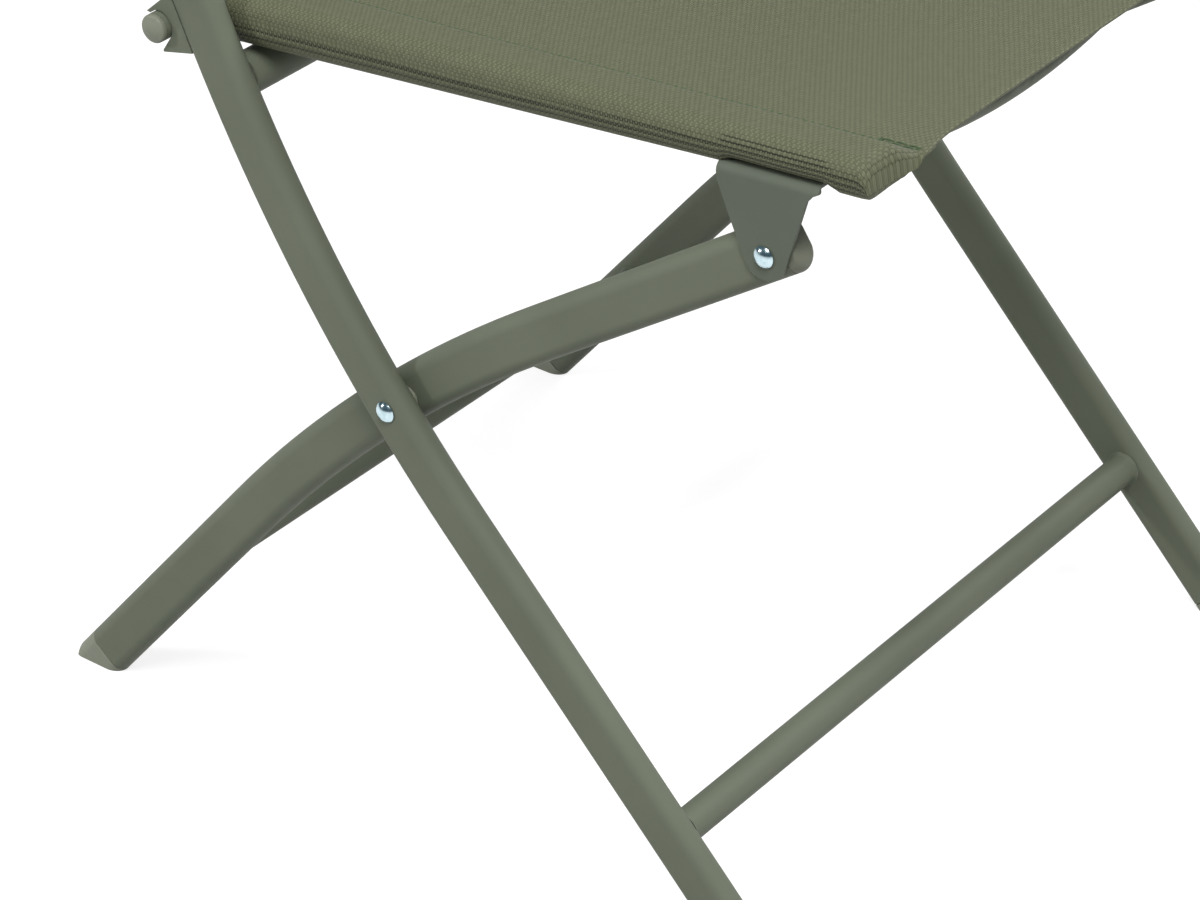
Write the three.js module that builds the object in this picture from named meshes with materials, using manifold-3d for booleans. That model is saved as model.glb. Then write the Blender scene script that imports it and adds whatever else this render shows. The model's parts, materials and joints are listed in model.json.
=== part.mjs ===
// Folding lawn chair with a stretched mesh seat and back.
// Millimetres, +Z up. The sitter faces -Y, and the sitter's right is -X.
import * as THREE from "three";
import { mergeVertices } from "three/addons/utils/BufferGeometryUtils.js";
import Module from "manifold-3d";

const wasm = await Module();
wasm.setup();

const DEG = Math.PI / 180;

// Clearances
const GAP = 0.3; // between touching pieces
const FIT = 0.3; // radial, in rivet holes
const REST_GAP = 0.5; // between the rear bar and its notch

// Flat-oval tube used for uprights, rear legs and seat rails
const TUBE_WIDE = 28;
const TUBE_THIN = 14;
const WALL = 1.5;

// Side profile. Y is measured from the leg pivot, Z from the floor.
const PIVOT_Z = 261.8;
const UPRIGHT_X = 217.5;
const UPRIGHT_KNEE_Y = 53.9;
const UPRIGHT_KNEE_Z = 311.4;
const UPRIGHT_LOW = 46.1 * DEG;
const UPRIGHT_HIGH = 65.4 * DEG;
const UPRIGHT_BEND = 821;
const UPRIGHT_ABOVE_BEND = 379;
const LEG_KNEE_Y = 28.8;
const LEG_KNEE_Z = 250.1;
const LEG_LOW = 129.6 * DEG;
const LEG_HIGH = 145.6 * DEG;
const LEG_BEND = 933;
const SPACER = 2.2; // washer between upright and rear leg

// Back top
const CORNER_RADIUS = 52;
const CORNER_STRAIGHT = 20;
const CORNER_COLLAR = 12; // length fused inside the corner tube
const CORNER_SPIGOT = 22; // length plugged into the next tube

// Stretchers and bars
const FRONT_STRETCHER_R = 9;
const FRONT_STRETCHER_Z = 75.3;
const REAR_STRETCHER_R = 8;
const REAR_STRETCHER_Z = 89;
const REAR_BAR_R = 7.5;
const REAR_BAR_Z = 430;
const REAR_BAR_END = 224.4;
const UPPER_STRETCHER_R = 11;
const UPPER_STRETCHER_Z = 410.2; // within the upright's bend
const CROSSBAR_R = 7;
const CROSSBAR_DROP = 37.6; // its middle below its ends

// Feet and plugs
const FOOT_LIFT = 1.4; // lowest corner of the cut tube above the floor
const FOOT_SPIGOT = 13;
const FOOT_TOE = 5; // length taken off the foot's thin toe
const PLUG_LENGTH = 7.5;
const PLUG_SPIGOT = 4.5;
const PLUG_CORNER = 6.5;
const RAIL_PLUG_FACE = 1.2;
const RAIL_PLUG_SPIGOT = 10;
const LEG_PAST_HINGE = 8.4;

// Seat, in its own tilted plane: along is rearward, rise is up from the rail's centre line
const SEAT_TILT = 4.2 * DEG;
const SEAT_HINGE_Y = -214;
const RAIL_ABOVE_HINGE = 50.4;
const RAIL_FRONT = -46.5;
const SLING_FRONT = -53.7;
const SLING_REAR = 322;
const CLOTH = 1.2;
const CLOTH_PANEL = 1.6;
const SLEEVE_CLEAR = 0.9; // from sleeve to upright
const SEAT_FACE = -0.5; // rise of the seat panel's upper face
const SEAT_SAG = 1;
const BACK_SAG = 12;
const BACK_LOW = 140; // above the upper end of the upright's bend
const BACK_HIGH = 391;

// Seat bracket
const PLATE = 1.8;
const BRACKET_BEND = 4.7;
const BRACKET_HALF = 24.6;
const BRACKET_TONGUE = 6.5; // flange ahead of the leaf's front edge
const BRACKET_SHOULDER = 13;
const BRACKET_TIP_R = 12;
const FLANGE_INNER_X = 182;
const BRACKET_RIVET_PITCH = 34;

// Hook plate, measured from the rear bar's centre: away from the upright and up along it
const HOOK_THICK = 3;
const HOOK_OFFSET = 3; // outward from the upright's centre plane
const HOOK_WEB = 6.5; // plate between the upright and the notch
const HOOK_RAMP = 32 * DEG;
const HOOK_UPPER = 66 * DEG; // end of the notch above the bar
const HOOK_OUTLINE = [[-21, -18.2], [4.2, -13.2]];
const HOOK_LIP = 4.2;
const HOOK_TOP = [[5.3, 8.7], [-21, 16.8]];

// Rivets
const PIVOT_SHANK_R = 3;
const PIVOT_HEAD_R = 5.1;
const HINGE_SHANK_R = 2.6;
const HINGE_HEAD_R = 5;
const SMALL_SHANK_R = 2;
const SMALL_HEAD_R = 3.6;
const HEAD_HEIGHT = 2.4;
const WASHER_R = 7.5;

const paint = new THREE.MeshStandardMaterial({ color: 0x666f5c, roughness: 0.62, metalness: 0.1 });
const cloth = new THREE.MeshStandardMaterial({ color: 0x7d8466, roughness: 0.9, metalness: 0 });
const plastic = new THREE.MeshStandardMaterial({ color: 0x6f775f, roughness: 0.7, metalness: 0 });
const zinc = new THREE.MeshStandardMaterial({ color: 0xb9c6cc, roughness: 0.25, metalness: 1 });

// Directions in the side plane
function heading(angle) {
  return new THREE.Vector3(0, Math.cos(angle), Math.sin(angle));
}

function leftOf(angle) {
  return new THREE.Vector3(0, -Math.sin(angle), Math.cos(angle));
}

// Straight, bend, straight in the side plane, with length as its parameter
class BentPath extends THREE.Curve {
  constructor(kneeY, kneeZ, low, high, radius) {
    super();
    this.low = low;
    this.high = high;
    this.radius = radius;
    const tangent = radius * Math.tan((high - low) / 2);
    const knee = new THREE.Vector3(0, kneeY, kneeZ);
    this.bendStart = knee.clone().addScaledVector(heading(low), -tangent);
    this.bendEnd = knee.clone().addScaledVector(heading(high), tangent);
    this.centre = this.bendStart.clone().addScaledVector(leftOf(low), radius);
    this.arc = radius * (high - low);
    this.before = 0;
    this.after = 0;
  }

  getPoint(t) {
    const s = t * (this.before + this.arc + this.after) - this.before;
    if (s < 0) {
      return this.bendStart.clone().addScaledVector(heading(this.low), s);
    }
    if (s > this.arc) {
      return this.bendEnd.clone().addScaledVector(heading(this.high), s - this.arc);
    }
    const angle = this.low + s / this.radius;
    return this.centre.clone().addScaledVector(leftOf(angle), -this.radius);
  }
}

// Quarter turn from up along the back to straight across it
class CornerPath extends THREE.Curve {
  constructor(up) {
    super();
    this.up = up;
    this.arc = CORNER_RADIUS * Math.PI / 2;
  }

  getPoint(t) {
    const s = t * (this.arc + 2 * CORNER_STRAIGHT) - CORNER_STRAIGHT;
    const turn = Math.min(Math.max(s, 0), this.arc) / CORNER_RADIUS;
    const before = Math.min(s, 0);
    const after = Math.max(s - this.arc, 0);
    const across = CORNER_RADIUS * (1 - Math.cos(turn)) + after;
    const rise = CORNER_RADIUS * Math.sin(turn) + before;
    return new THREE.Vector3(across, 0, 0).addScaledVector(this.up, rise);
  }
}

// Shapes
function oval(sizeX, sizeY) {
  const r = Math.min(sizeX, sizeY) / 2;
  const dx = sizeX / 2 - r;
  const dy = sizeY / 2 - r;
  const shape = new THREE.Shape();
  if (dy >= dx) {
    shape.absarc(0, dy, r, 0, Math.PI);
    shape.absarc(0, -dy, r, Math.PI, 2 * Math.PI);
  } else {
    shape.absarc(dx, 0, r, -Math.PI / 2, Math.PI / 2);
    shape.absarc(-dx, 0, r, Math.PI / 2, 1.5 * Math.PI);
  }
  shape.closePath();
  return shape;
}

function ovalTube(sizeX, sizeY) {
  const shape = oval(sizeX, sizeY);
  shape.holes.push(oval(sizeX - 2 * WALL, sizeY - 2 * WALL));
  return shape;
}

// Solids
function toSolid(geometry) {
  const bare = geometry.clone();
  bare.deleteAttribute("normal");
  bare.deleteAttribute("uv");
  const merged = mergeVertices(bare, 1e-4);
  const mesh = new wasm.Mesh({
    numProp: 3,
    vertProperties: new Float32Array(merged.attributes.position.array),
    triVerts: new Uint32Array(merged.index.array),
  });
  return new wasm.Manifold(mesh);
}

function toGeometry(solid) {
  const mesh = solid.getMesh();
  const geometry = new THREE.BufferGeometry();
  geometry.setAttribute("position", new THREE.BufferAttribute(new Float32Array(mesh.vertProperties), 3));
  geometry.setIndex(new THREE.BufferAttribute(new Uint32Array(mesh.triVerts), 1));
  geometry.computeVertexNormals();
  return geometry;
}

// Shape pushed along a direction: shapeUp is where the shape's y goes
function prism(shape, start, shapeUp, direction, depth, segments = 4) {
  const options = { depth, bevelEnabled: false, curveSegments: segments };
  const geometry = new THREE.ExtrudeGeometry(shape, options);
  const shapeRight = new THREE.Vector3().crossVectors(shapeUp, direction);
  const matrix = new THREE.Matrix4().makeBasis(shapeRight, shapeUp, direction).setPosition(start);
  return geometry.applyMatrix4(matrix);
}

// Turned piece: profile of [radius, along] pairs, pushed along a direction from a start point
function turned(profile, start, direction, segments = 24) {
  const points = profile.map(([radius, along]) => new THREE.Vector2(radius, along));
  const geometry = new THREE.LatheGeometry(points, segments);
  const turn = new THREE.Quaternion().setFromUnitVectors(new THREE.Vector3(0, 1, 0), direction);
  geometry.applyQuaternion(turn);
  return geometry.translate(start.x, start.y, start.z);
}

function rod(radius, start, direction, length, segments = 16) {
  return turned([[0, 0], [radius, 0], [radius, length], [0, length]], start, direction, segments);
}

function roundTube(radius, halfLength, y, z) {
  const bore = radius - WALL;
  const length = 2 * halfLength;
  const profile = [[bore, 0], [radius, 0], [radius, length], [bore, length], [bore, 0]];
  return turned(profile, new THREE.Vector3(-halfLength, y, z), RIGHTWARD, 24);
}

// Rivet from a face outward: domed head, shank and a flat tail
function rivet(shankR, headR, grip, face, outward) {
  const head = [[headR, grip], [headR, grip + 0.7], [headR * 0.72, grip + HEAD_HEIGHT * 0.8]];
  const tail = [[0, -1.6], [headR * 0.9, -1.6], [headR * 0.9, 0], [shankR, 0], [shankR, grip]];
  const profile = [...tail, ...head, [0, grip + HEAD_HEIGHT]];
  return turned(profile, face, outward, 12);
}

function drill(geometry, cuts) {
  let solid = toSolid(geometry);
  for (const cut of cuts) {
    solid = solid.subtract(toSolid(cut));
  }
  return toGeometry(solid);
}

function fuse(first, second) {
  return toGeometry(toSolid(first).add(toSolid(second)));
}

function common(first, second) {
  return toGeometry(toSolid(first).intersect(toSolid(second)));
}

const RIGHTWARD = new THREE.Vector3(1, 0, 0);
const FAR = 400; // longer than any cut needs

// Derived places
const upright = new BentPath(UPRIGHT_KNEE_Y, UPRIGHT_KNEE_Z, UPRIGHT_LOW, UPRIGHT_HIGH, UPRIGHT_BEND);
const uprightFootZ = FOOT_LIFT + TUBE_WIDE / 2 * Math.cos(UPRIGHT_LOW);
upright.before = (upright.bendStart.z - uprightFootZ) / Math.sin(UPRIGHT_LOW);
upright.after = UPRIGHT_ABOVE_BEND;

const leg = new BentPath(LEG_KNEE_Y, LEG_KNEE_Z, LEG_LOW, LEG_HIGH, LEG_BEND);
const legFootZ = FOOT_LIFT - TUBE_WIDE / 2 * Math.cos(LEG_LOW);
leg.before = (leg.bendStart.z - legFootZ) / Math.sin(LEG_LOW);
const hingeAfter = (SEAT_HINGE_Y - leg.bendEnd.y) / Math.cos(LEG_HIGH);
leg.after = hingeAfter + LEG_PAST_HINGE;
const seatHinge = leg.bendEnd.clone().addScaledVector(heading(LEG_HIGH), hingeAfter);

const uprightInner = UPRIGHT_X - TUBE_THIN / 2;
const uprightOuter = UPRIGHT_X + TUBE_THIN / 2;
const LEG_X = uprightInner - SPACER - 2 * GAP - TUBE_THIN / 2;
const legInner = LEG_X - TUBE_THIN / 2;
const legOuter = LEG_X + TUBE_THIN / 2;
const pivot = new THREE.Vector3(0, 0, PIVOT_Z);

const backUp = heading(UPRIGHT_HIGH);
const backRear = leftOf(UPRIGHT_HIGH).negate();
const barOut = TUBE_WIDE / 2 + HOOK_WEB + REST_GAP + REAR_BAR_R;
const barRise = (REAR_BAR_Z - barOut * backRear.z - upright.bendEnd.z) / backUp.z;
const barCentre = upright.bendEnd.clone().addScaledVector(backUp, barRise).addScaledVector(backRear, barOut);

const seatBack = heading(-SEAT_TILT);
const seatUp = leftOf(-SEAT_TILT);
const seatOrigin = seatHinge.clone().add(new THREE.Vector3(0, 0, RAIL_ABOVE_HINGE));
const hingeAlong = RAIL_ABOVE_HINGE * Math.sin(SEAT_TILT);
const hingeRise = -RAIL_ABOVE_HINGE * Math.cos(SEAT_TILT);
const sleeveWide = TUBE_WIDE + 2 * GAP + 2 * CLOTH;
const sleeveThin = TUBE_THIN + 2 * GAP + 2 * CLOTH;
const RAIL_X = uprightInner - SLEEVE_CLEAR - sleeveWide / 2;
const flangeTop = -sleeveThin / 2 - GAP;
const crossbarEnd = flangeTop - GAP;
const crossbarLean = Math.atan(2 * CROSSBAR_DROP / FLANGE_INNER_X);
const crossbarSpace = GAP / Math.cos(crossbarLean) + (PLATE - GAP) * Math.tan(crossbarLean);
const crossbarHalf = FLANGE_INNER_X - crossbarSpace;

function seatPoint(x, along, rise) {
  const point = seatOrigin.clone().addScaledVector(seatBack, along).addScaledVector(seatUp, rise);
  point.x = x;
  return point;
}

// Groups
const chair = new THREE.Group();
chair.name = "folding_lawn_chair";
const backFrame = new THREE.Group();
backFrame.name = "back_frame";
const legFrame = new THREE.Group();
legFrame.name = "leg_frame";
const seatFrame = new THREE.Group();
seatFrame.name = "seat_frame";
chair.add(backFrame, legFrame, seatFrame);

function place(group, name, geometry, material, x = 0) {
  const mesh = new THREE.Mesh(geometry, material);
  mesh.name = name;
  mesh.position.x = x;
  group.add(mesh);
}

const SIDES = [["right", -1], ["left", 1]];

// Start of a cut that runs across the whole chair
function acrossFrom(point) {
  return new THREE.Vector3(-FAR, point.y, point.z);
}

// Through hole along X, for a piece drawn on its own centre plane
function crossHole(radius, point) {
  return rod(radius, new THREE.Vector3(-TUBE_WIDE, point.y, point.z), RIGHTWARD, 2 * TUBE_WIDE);
}

function bentTube(path, steps) {
  const section = ovalTube(TUBE_THIN, TUBE_WIDE);
  return new THREE.ExtrudeGeometry(section, { steps, extrudePath: path, curveSegments: 4 });
}

// Foot plug: fills the wedge under a tube cut square and stands flat on the floor
function footPlug(path, angle) {
  const end = path.getPoint(0);
  const down = heading(angle).negate();
  const shapeUp = leftOf(angle);
  const wedgeStart = end.clone().addScaledVector(down, GAP);
  const wedge = prism(oval(TUBE_THIN, TUBE_WIDE), wedgeStart, shapeUp, down, FAR);
  const spigotSize = TUBE_THIN - 2 * WALL - 2 * GAP;
  const spigotShape = oval(spigotSize, spigotSize + TUBE_WIDE - TUBE_THIN);
  const spigotStart = end.clone().addScaledVector(down, -FOOT_SPIGOT);
  const spigot = prism(spigotShape, spigotStart, shapeUp, down, FOOT_SPIGOT + 2 * GAP);
  const halfPrint = TUBE_WIDE / 2 / Math.abs(Math.sin(angle));
  const axisFloorY = end.y - end.z / Math.tan(angle);
  const forward = -Math.sign(Math.cos(angle));
  const toeY = axisFloorY + forward * (halfPrint - FOOT_TOE);
  const keep = new THREE.BoxGeometry(FAR, FAR, FAR);
  keep.translate(0, toeY - forward * FAR / 2, FAR / 2);
  return common(fuse(wedge, spigot), keep);
}

// Plug in the upper end of a rear leg, with rounded corners
function legPlug() {
  const end = leg.getPoint(1);
  const out = heading(LEG_HIGH);
  const across = leftOf(LEG_HIGH);
  const half = TUBE_WIDE / 2;
  const outline = new THREE.Shape();
  outline.moveTo(-half, GAP);
  outline.lineTo(half, GAP);
  outline.absarc(half - PLUG_CORNER, PLUG_LENGTH - PLUG_CORNER, PLUG_CORNER, 0, Math.PI / 2);
  outline.absarc(PLUG_CORNER - half, PLUG_LENGTH - PLUG_CORNER, PLUG_CORNER, Math.PI / 2, Math.PI);
  outline.closePath();
  const start = end.clone();
  start.x = -TUBE_THIN;
  const slab = prism(outline, start, out, RIGHTWARD, 2 * TUBE_THIN);
  const body = prism(oval(TUBE_THIN, TUBE_WIDE), end.clone().addScaledVector(out, -1), across, out, 20);
  const bore = TUBE_THIN - 2 * WALL - 2 * GAP;
  const spigotStart = end.clone().addScaledVector(out, -PLUG_SPIGOT);
  const spigot = prism(oval(bore, bore + TUBE_WIDE - TUBE_THIN), spigotStart, across, out, PLUG_SPIGOT + 2);
  return fuse(common(slab, body), spigot);
}

// Back frame
const uprightTube = drill(bentTube(upright, 16), [crossHole(PIVOT_SHANK_R + FIT, pivot)]);
const frontFoot = footPlug(upright, UPRIGHT_LOW);

// Hook plate on its own centre plane, cut to the upright's rounded rear edge
function hookPlate() {
  const notch = REAR_BAR_R + REST_GAP;
  const rampAngle = -Math.PI / 2 - HOOK_RAMP;
  const rampStart = [notch * Math.cos(rampAngle), notch * Math.sin(rampAngle)];
  const rampEnd = rampStart[1] - (HOOK_LIP - rampStart[0]) * Math.tan(HOOK_RAMP);
  const outline = new THREE.Shape();
  outline.moveTo(...HOOK_OUTLINE[0]);
  outline.lineTo(...HOOK_OUTLINE[1]);
  outline.lineTo(HOOK_LIP, rampEnd);
  outline.lineTo(...rampStart);
  outline.absarc(0, 0, notch, rampAngle + 2 * Math.PI, HOOK_UPPER, true);
  outline.lineTo(...HOOK_TOP[0]);
  outline.lineTo(...HOOK_TOP[1]);
  outline.closePath();
  const start = barCentre.clone();
  start.x = -HOOK_THICK / 2;
  return prism(outline, start, backUp, RIGHTWARD, HOOK_THICK, 8);
}

function fitToUpright(plate, offset) {
  const shape = oval(TUBE_THIN + 2 * GAP, TUBE_WIDE + 2 * GAP);
  const start = upright.bendEnd.clone().addScaledVector(backUp, -FAR / 4);
  start.x = -offset;
  const tube = prism(shape, start, backRear, backUp, FAR);
  return drill(plate, [tube]);
}

const cornerFoot = upright.bendEnd.clone().addScaledVector(backUp, UPRIGHT_ABOVE_BEND + GAP);

// Corner tube with sleeves swaged down to plug into upright and top rail
function cornerBend(sign) {
  const path = new CornerPath(backUp);
  const section = ovalTube(TUBE_THIN, TUBE_WIDE);
  const bend = new THREE.ExtrudeGeometry(section, { steps: 9, extrudePath: path, curveSegments: 4 });
  const rear = backRear;
  const low = path.getPoint(0);
  const high = path.getPoint(1);
  let solid = toSolid(bend);
  for (const [end, out] of [[low, backUp.clone().negate()], [high, RIGHTWARD]]) {
    const bore = TUBE_THIN - 2 * WALL;
    const flat = TUBE_WIDE - TUBE_THIN;
    const seat = bore + GAP; // bites into the tube's wall
    const neck = bore - 2 * GAP;
    const hole = neck - 2 * WALL;
    const inside = end.clone().addScaledVector(out, -CORNER_COLLAR);
    const collar = prism(oval(seat, seat + flat), inside, rear, out, CORNER_COLLAR);
    const spigot = prism(oval(neck, neck + flat), inside, rear, out, CORNER_COLLAR + CORNER_SPIGOT);
    const hollowStart = inside.clone().addScaledVector(out, -WALL);
    const hollow = prism(oval(hole, hole + flat), hollowStart, rear, out, FAR / 10);
    solid = solid.add(toSolid(collar)).add(toSolid(spigot)).subtract(toSolid(hollow));
  }
  const geometry = toGeometry(solid);
  geometry.translate(-low.x, -low.y, -low.z);
  if (sign > 0) {
    geometry.applyMatrix4(new THREE.Matrix4().makeRotationAxis(backUp, Math.PI));
  }
  return geometry.translate(0, cornerFoot.y, cornerFoot.z);
}

const cornerTop = cornerFoot.clone().addScaledVector(backUp, CORNER_STRAIGHT + CORNER_RADIUS);
const topRailHalf = UPRIGHT_X - CORNER_RADIUS - CORNER_STRAIGHT - GAP;

function topRail() {
  const start = cornerTop.clone();
  start.x = -topRailHalf;
  return prism(ovalTube(TUBE_THIN, TUBE_WIDE), start, backRear, RIGHTWARD, 2 * topRailHalf);
}

// Panel of a sling across X, between two sleeves. face is where its outer face lies.
function slingShape(centreX, sleeveX, sleeveY, face, sag) {
  const r = Math.min(sleeveX, sleeveY) / 2;
  const dx = sleeveX / 2 - r;
  const dy = sleeveY / 2 - r;
  const under = face - CLOTH_PANEL;
  const lift = Math.max(Math.abs(under) - dy, 0);
  const reach = centreX - dx - Math.sqrt(r * r - lift * lift);
  const liftFace = Math.max(Math.abs(face) - dy, 0);
  const reachFace = centreX - dx - Math.sqrt(Math.max(r * r - liftFace * liftFace, 0));
  const panel = new THREE.Shape();
  const overlap = CLOTH * 0.7;
  panel.moveTo(-reachFace - overlap, face);
  panel.quadraticCurveTo(0, face - 2 * sag, reachFace + overlap, face);
  panel.lineTo(reach + overlap, under);
  panel.quadraticCurveTo(0, under - 2 * sag, -reach - overlap, under);
  panel.closePath();
  return panel;
}

function sling(centreX, tubeX, tubeY, face, sag, start, shapeUp, direction, length) {
  const sleeveX = tubeX + 2 * GAP + 2 * CLOTH;
  const sleeveY = tubeY + 2 * GAP + 2 * CLOTH;
  const shape = slingShape(centreX, sleeveX, sleeveY, face, sag);
  let solid = toSolid(prism(shape, start, shapeUp, direction, length, 8));
  for (const side of [-1, 1]) {
    const at = start.clone();
    at.x = side * centreX;
    const outer = prism(oval(sleeveX, sleeveY), at, shapeUp, direction, length, 6);
    solid = solid.add(toSolid(outer));
  }
  for (const side of [-1, 1]) {
    const at = start.clone().addScaledVector(direction, -1);
    at.x = side * centreX;
    const bore = prism(oval(tubeX + 2 * GAP, tubeY + 2 * GAP), at, shapeUp, direction, length + 2, 6);
    solid = solid.subtract(toSolid(bore));
  }
  return toGeometry(solid);
}

const backStart = upright.bendEnd.clone().addScaledVector(backUp, BACK_LOW);
const backFace = (TUBE_WIDE - TUBE_THIN) / 2;
const backFront = backRear.clone().negate();
const backSling = sling(
  UPRIGHT_X, TUBE_THIN, TUBE_WIDE, backFace, BACK_SAG,
  backStart, backFront, backUp, BACK_HIGH - BACK_LOW,
);

for (const [name, sign] of SIDES) {
  place(backFrame, `upright_${name}`, uprightTube, paint, sign * UPRIGHT_X);
  place(backFrame, `front_foot_${name}`, frontFoot, plastic, sign * UPRIGHT_X);
  const hook = fitToUpright(hookPlate(), sign * HOOK_OFFSET);
  place(backFrame, `hook_plate_${name}`, hook, paint, sign * (UPRIGHT_X + HOOK_OFFSET));
  place(backFrame, `corner_bend_${name}`, cornerBend(sign), paint, sign * UPRIGHT_X);
}
place(backFrame, "top_rail", topRail(), paint);
const stretcherY = upright.bendStart.y + (FRONT_STRETCHER_Z - upright.bendStart.z) / Math.tan(UPRIGHT_LOW);
const frontStretcher = roundTube(FRONT_STRETCHER_R, uprightInner - GAP, stretcherY, FRONT_STRETCHER_Z);
place(backFrame, "front_stretcher", frontStretcher, paint);
const upperDrop = UPPER_STRETCHER_Z - upright.centre.z;
const upperY = upright.centre.y + Math.sqrt(UPRIGHT_BEND ** 2 - upperDrop ** 2);
const upperStretcher = roundTube(UPPER_STRETCHER_R, uprightInner - GAP, upperY, UPPER_STRETCHER_Z);
place(backFrame, "upper_stretcher", upperStretcher, paint);
place(backFrame, "back_sling", backSling, cloth);

for (const [name, sign] of SIDES) {
  const outward = new THREE.Vector3(sign, 0, 0);
  const grip = uprightOuter + GAP - (legInner - GAP);
  const face = new THREE.Vector3(sign * (legInner - GAP), 0, PIVOT_Z);
  const pivotRivet = rivet(PIVOT_SHANK_R, PIVOT_HEAD_R, grip, face, outward);
  place(backFrame, `pivot_rivet_${name}`, pivotRivet, zinc);
  const bore = PIVOT_SHANK_R + FIT;
  const ring = [[bore, 0], [WASHER_R, 0], [WASHER_R, SPACER], [bore, SPACER], [bore, 0]];
  const washerFace = new THREE.Vector3(sign * (legOuter + GAP), 0, PIVOT_Z);
  place(backFrame, `pivot_washer_${name}`, turned(ring, washerFace, outward, 20), plastic);
}

// Rear-leg frame
const legHoles = [crossHole(PIVOT_SHANK_R + FIT, pivot), crossHole(HINGE_SHANK_R + FIT, seatHinge)];
const legTube = drill(bentTube(leg, 12), legHoles);
const rearFoot = footPlug(leg, LEG_LOW);
const upperPlug = legPlug();
for (const [name, sign] of SIDES) {
  place(legFrame, `rear_leg_${name}`, legTube, paint, sign * LEG_X);
  place(legFrame, `rear_foot_${name}`, rearFoot, plastic, sign * LEG_X);
  place(legFrame, `leg_plug_${name}`, upperPlug, plastic, sign * LEG_X);
}
const rearStretcherY = leg.bendStart.y + (REAR_STRETCHER_Z - leg.bendStart.z) / Math.tan(LEG_LOW);
const rearStretcher = roundTube(REAR_STRETCHER_R, legInner - GAP, rearStretcherY, REAR_STRETCHER_Z);
place(legFrame, "rear_stretcher", rearStretcher, paint);

// Seat frame
const bracketPlateOuter = legOuter + GAP + PLATE;
const rivetAlongs = [-1, 1].map((end) => end * BRACKET_RIVET_PITCH / 2);
const smallHole = SMALL_SHANK_R + FIT;

function upHole(x, along) {
  return rod(smallHole, seatPoint(x, along, -FAR / 4), seatUp, FAR / 4, 12);
}

const slingRivetAlong = SLING_REAR - 12;

function seatRail(sign) {
  const railRear = (barCentre.y - seatOrigin.y) / seatBack.y;
  const start = seatPoint(sign * RAIL_X, RAIL_FRONT, 0);
  const tube = prism(ovalTube(TUBE_WIDE, TUBE_THIN), start, seatUp, seatBack, railRear - RAIL_FRONT);
  const barSpace = rod(REAR_BAR_R + GAP, acrossFrom(barCentre), RIGHTWARD, 2 * FAR, 24);
  const cuts = [barSpace];
  for (const along of rivetAlongs) {
    cuts.push(upHole(sign * RAIL_X, along));
  }
  cuts.push(rod(smallHole, seatPoint(sign * RAIL_X, slingRivetAlong, 0), seatUp, FAR / 4, 12));
  return drill(tube, cuts);
}

// Bracket: folded plate, tapering to a rounded tip at the seat hinge
function bracket(sign) {
  const outer = bracketPlateOuter;
  const inner = outer - PLATE;
  const bendX = outer - BRACKET_BEND;
  const bendRise = flangeTop - BRACKET_BEND;
  const low = hingeRise - BRACKET_TIP_R - BRACKET_BEND;
  const sheetHalf = 2 * BRACKET_HALF;
  const fold = new THREE.Shape();
  fold.moveTo(FLANGE_INNER_X, flangeTop - PLATE);
  fold.lineTo(FLANGE_INNER_X, flangeTop);
  fold.absarc(bendX, bendRise, BRACKET_BEND, Math.PI / 2, 0, true);
  fold.lineTo(outer, low);
  fold.lineTo(inner, low);
  fold.absarc(bendX, bendRise, BRACKET_BEND - PLATE, 0, Math.PI / 2, false);
  fold.closePath();
  const sheet = prism(fold, seatPoint(0, -sheetHalf, 0), seatUp, seatBack, 2 * sheetHalf, 4);
  if (sign > 0) {
    sheet.applyMatrix4(new THREE.Matrix4().makeRotationAxis(seatUp, Math.PI));
    const turnCentre = seatPoint(0, 0, 0);
    const moved = turnCentre.clone().applyMatrix4(new THREE.Matrix4().makeRotationAxis(seatUp, Math.PI));
    sheet.translate(0, turnCentre.y - moved.y, turnCentre.z - moved.z);
  }
  const shoulder = flangeTop - BRACKET_SHOULDER + BRACKET_BEND;
  const rise = shoulder - hingeRise;
  const reach = Math.hypot(BRACKET_HALF, rise);
  const lean = Math.atan2(rise, BRACKET_HALF) - Math.acos(BRACKET_TIP_R / reach);
  const front = hingeAlong - BRACKET_HALF;
  const underFlange = flangeTop - PLATE - GAP;
  const blank = new THREE.Shape();
  blank.moveTo(front - BRACKET_TONGUE, 0);
  blank.lineTo(front - BRACKET_TONGUE, underFlange);
  blank.lineTo(front, underFlange);
  blank.lineTo(front, shoulder);
  blank.absarc(hingeAlong, hingeRise, BRACKET_TIP_R, Math.PI - lean, 2 * Math.PI + lean);
  blank.lineTo(hingeAlong + BRACKET_HALF, shoulder);
  blank.lineTo(hingeAlong + BRACKET_HALF, 0);
  blank.closePath();
  const start = seatOrigin.clone();
  start.x = FAR;
  const cutter = prism(blank, start, seatUp, new THREE.Vector3(-1, 0, 0), 2 * FAR, 6);
  const plate = common(sheet, cutter);
  const cuts = [rod(HINGE_SHANK_R + FIT, acrossFrom(seatHinge), RIGHTWARD, 2 * FAR)];
  for (const along of rivetAlongs) {
    cuts.push(upHole(sign * RAIL_X, along));
  }
  return drill(plate, cuts);
}

// Bowed crossbar that meets the inner edges of the brackets' flanges
class BowPath extends THREE.Curve {
  getPoint(t) {
    const across = 2 * t - 1;
    const drop = CROSSBAR_DROP * (1 - across ** 2);
    return seatPoint(across * crossbarHalf, hingeAlong, crossbarEnd - drop);
  }
}

function frontCrossbar() {
  const section = new THREE.Shape();
  section.absarc(0, 0, CROSSBAR_R, 0, 2 * Math.PI);
  const bore = new THREE.Path();
  bore.absarc(0, 0, CROSSBAR_R - WALL, 0, 2 * Math.PI);
  section.holes.push(bore);
  return new THREE.ExtrudeGeometry(section, { steps: 14, extrudePath: new BowPath(), curveSegments: 6 });
}

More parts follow.
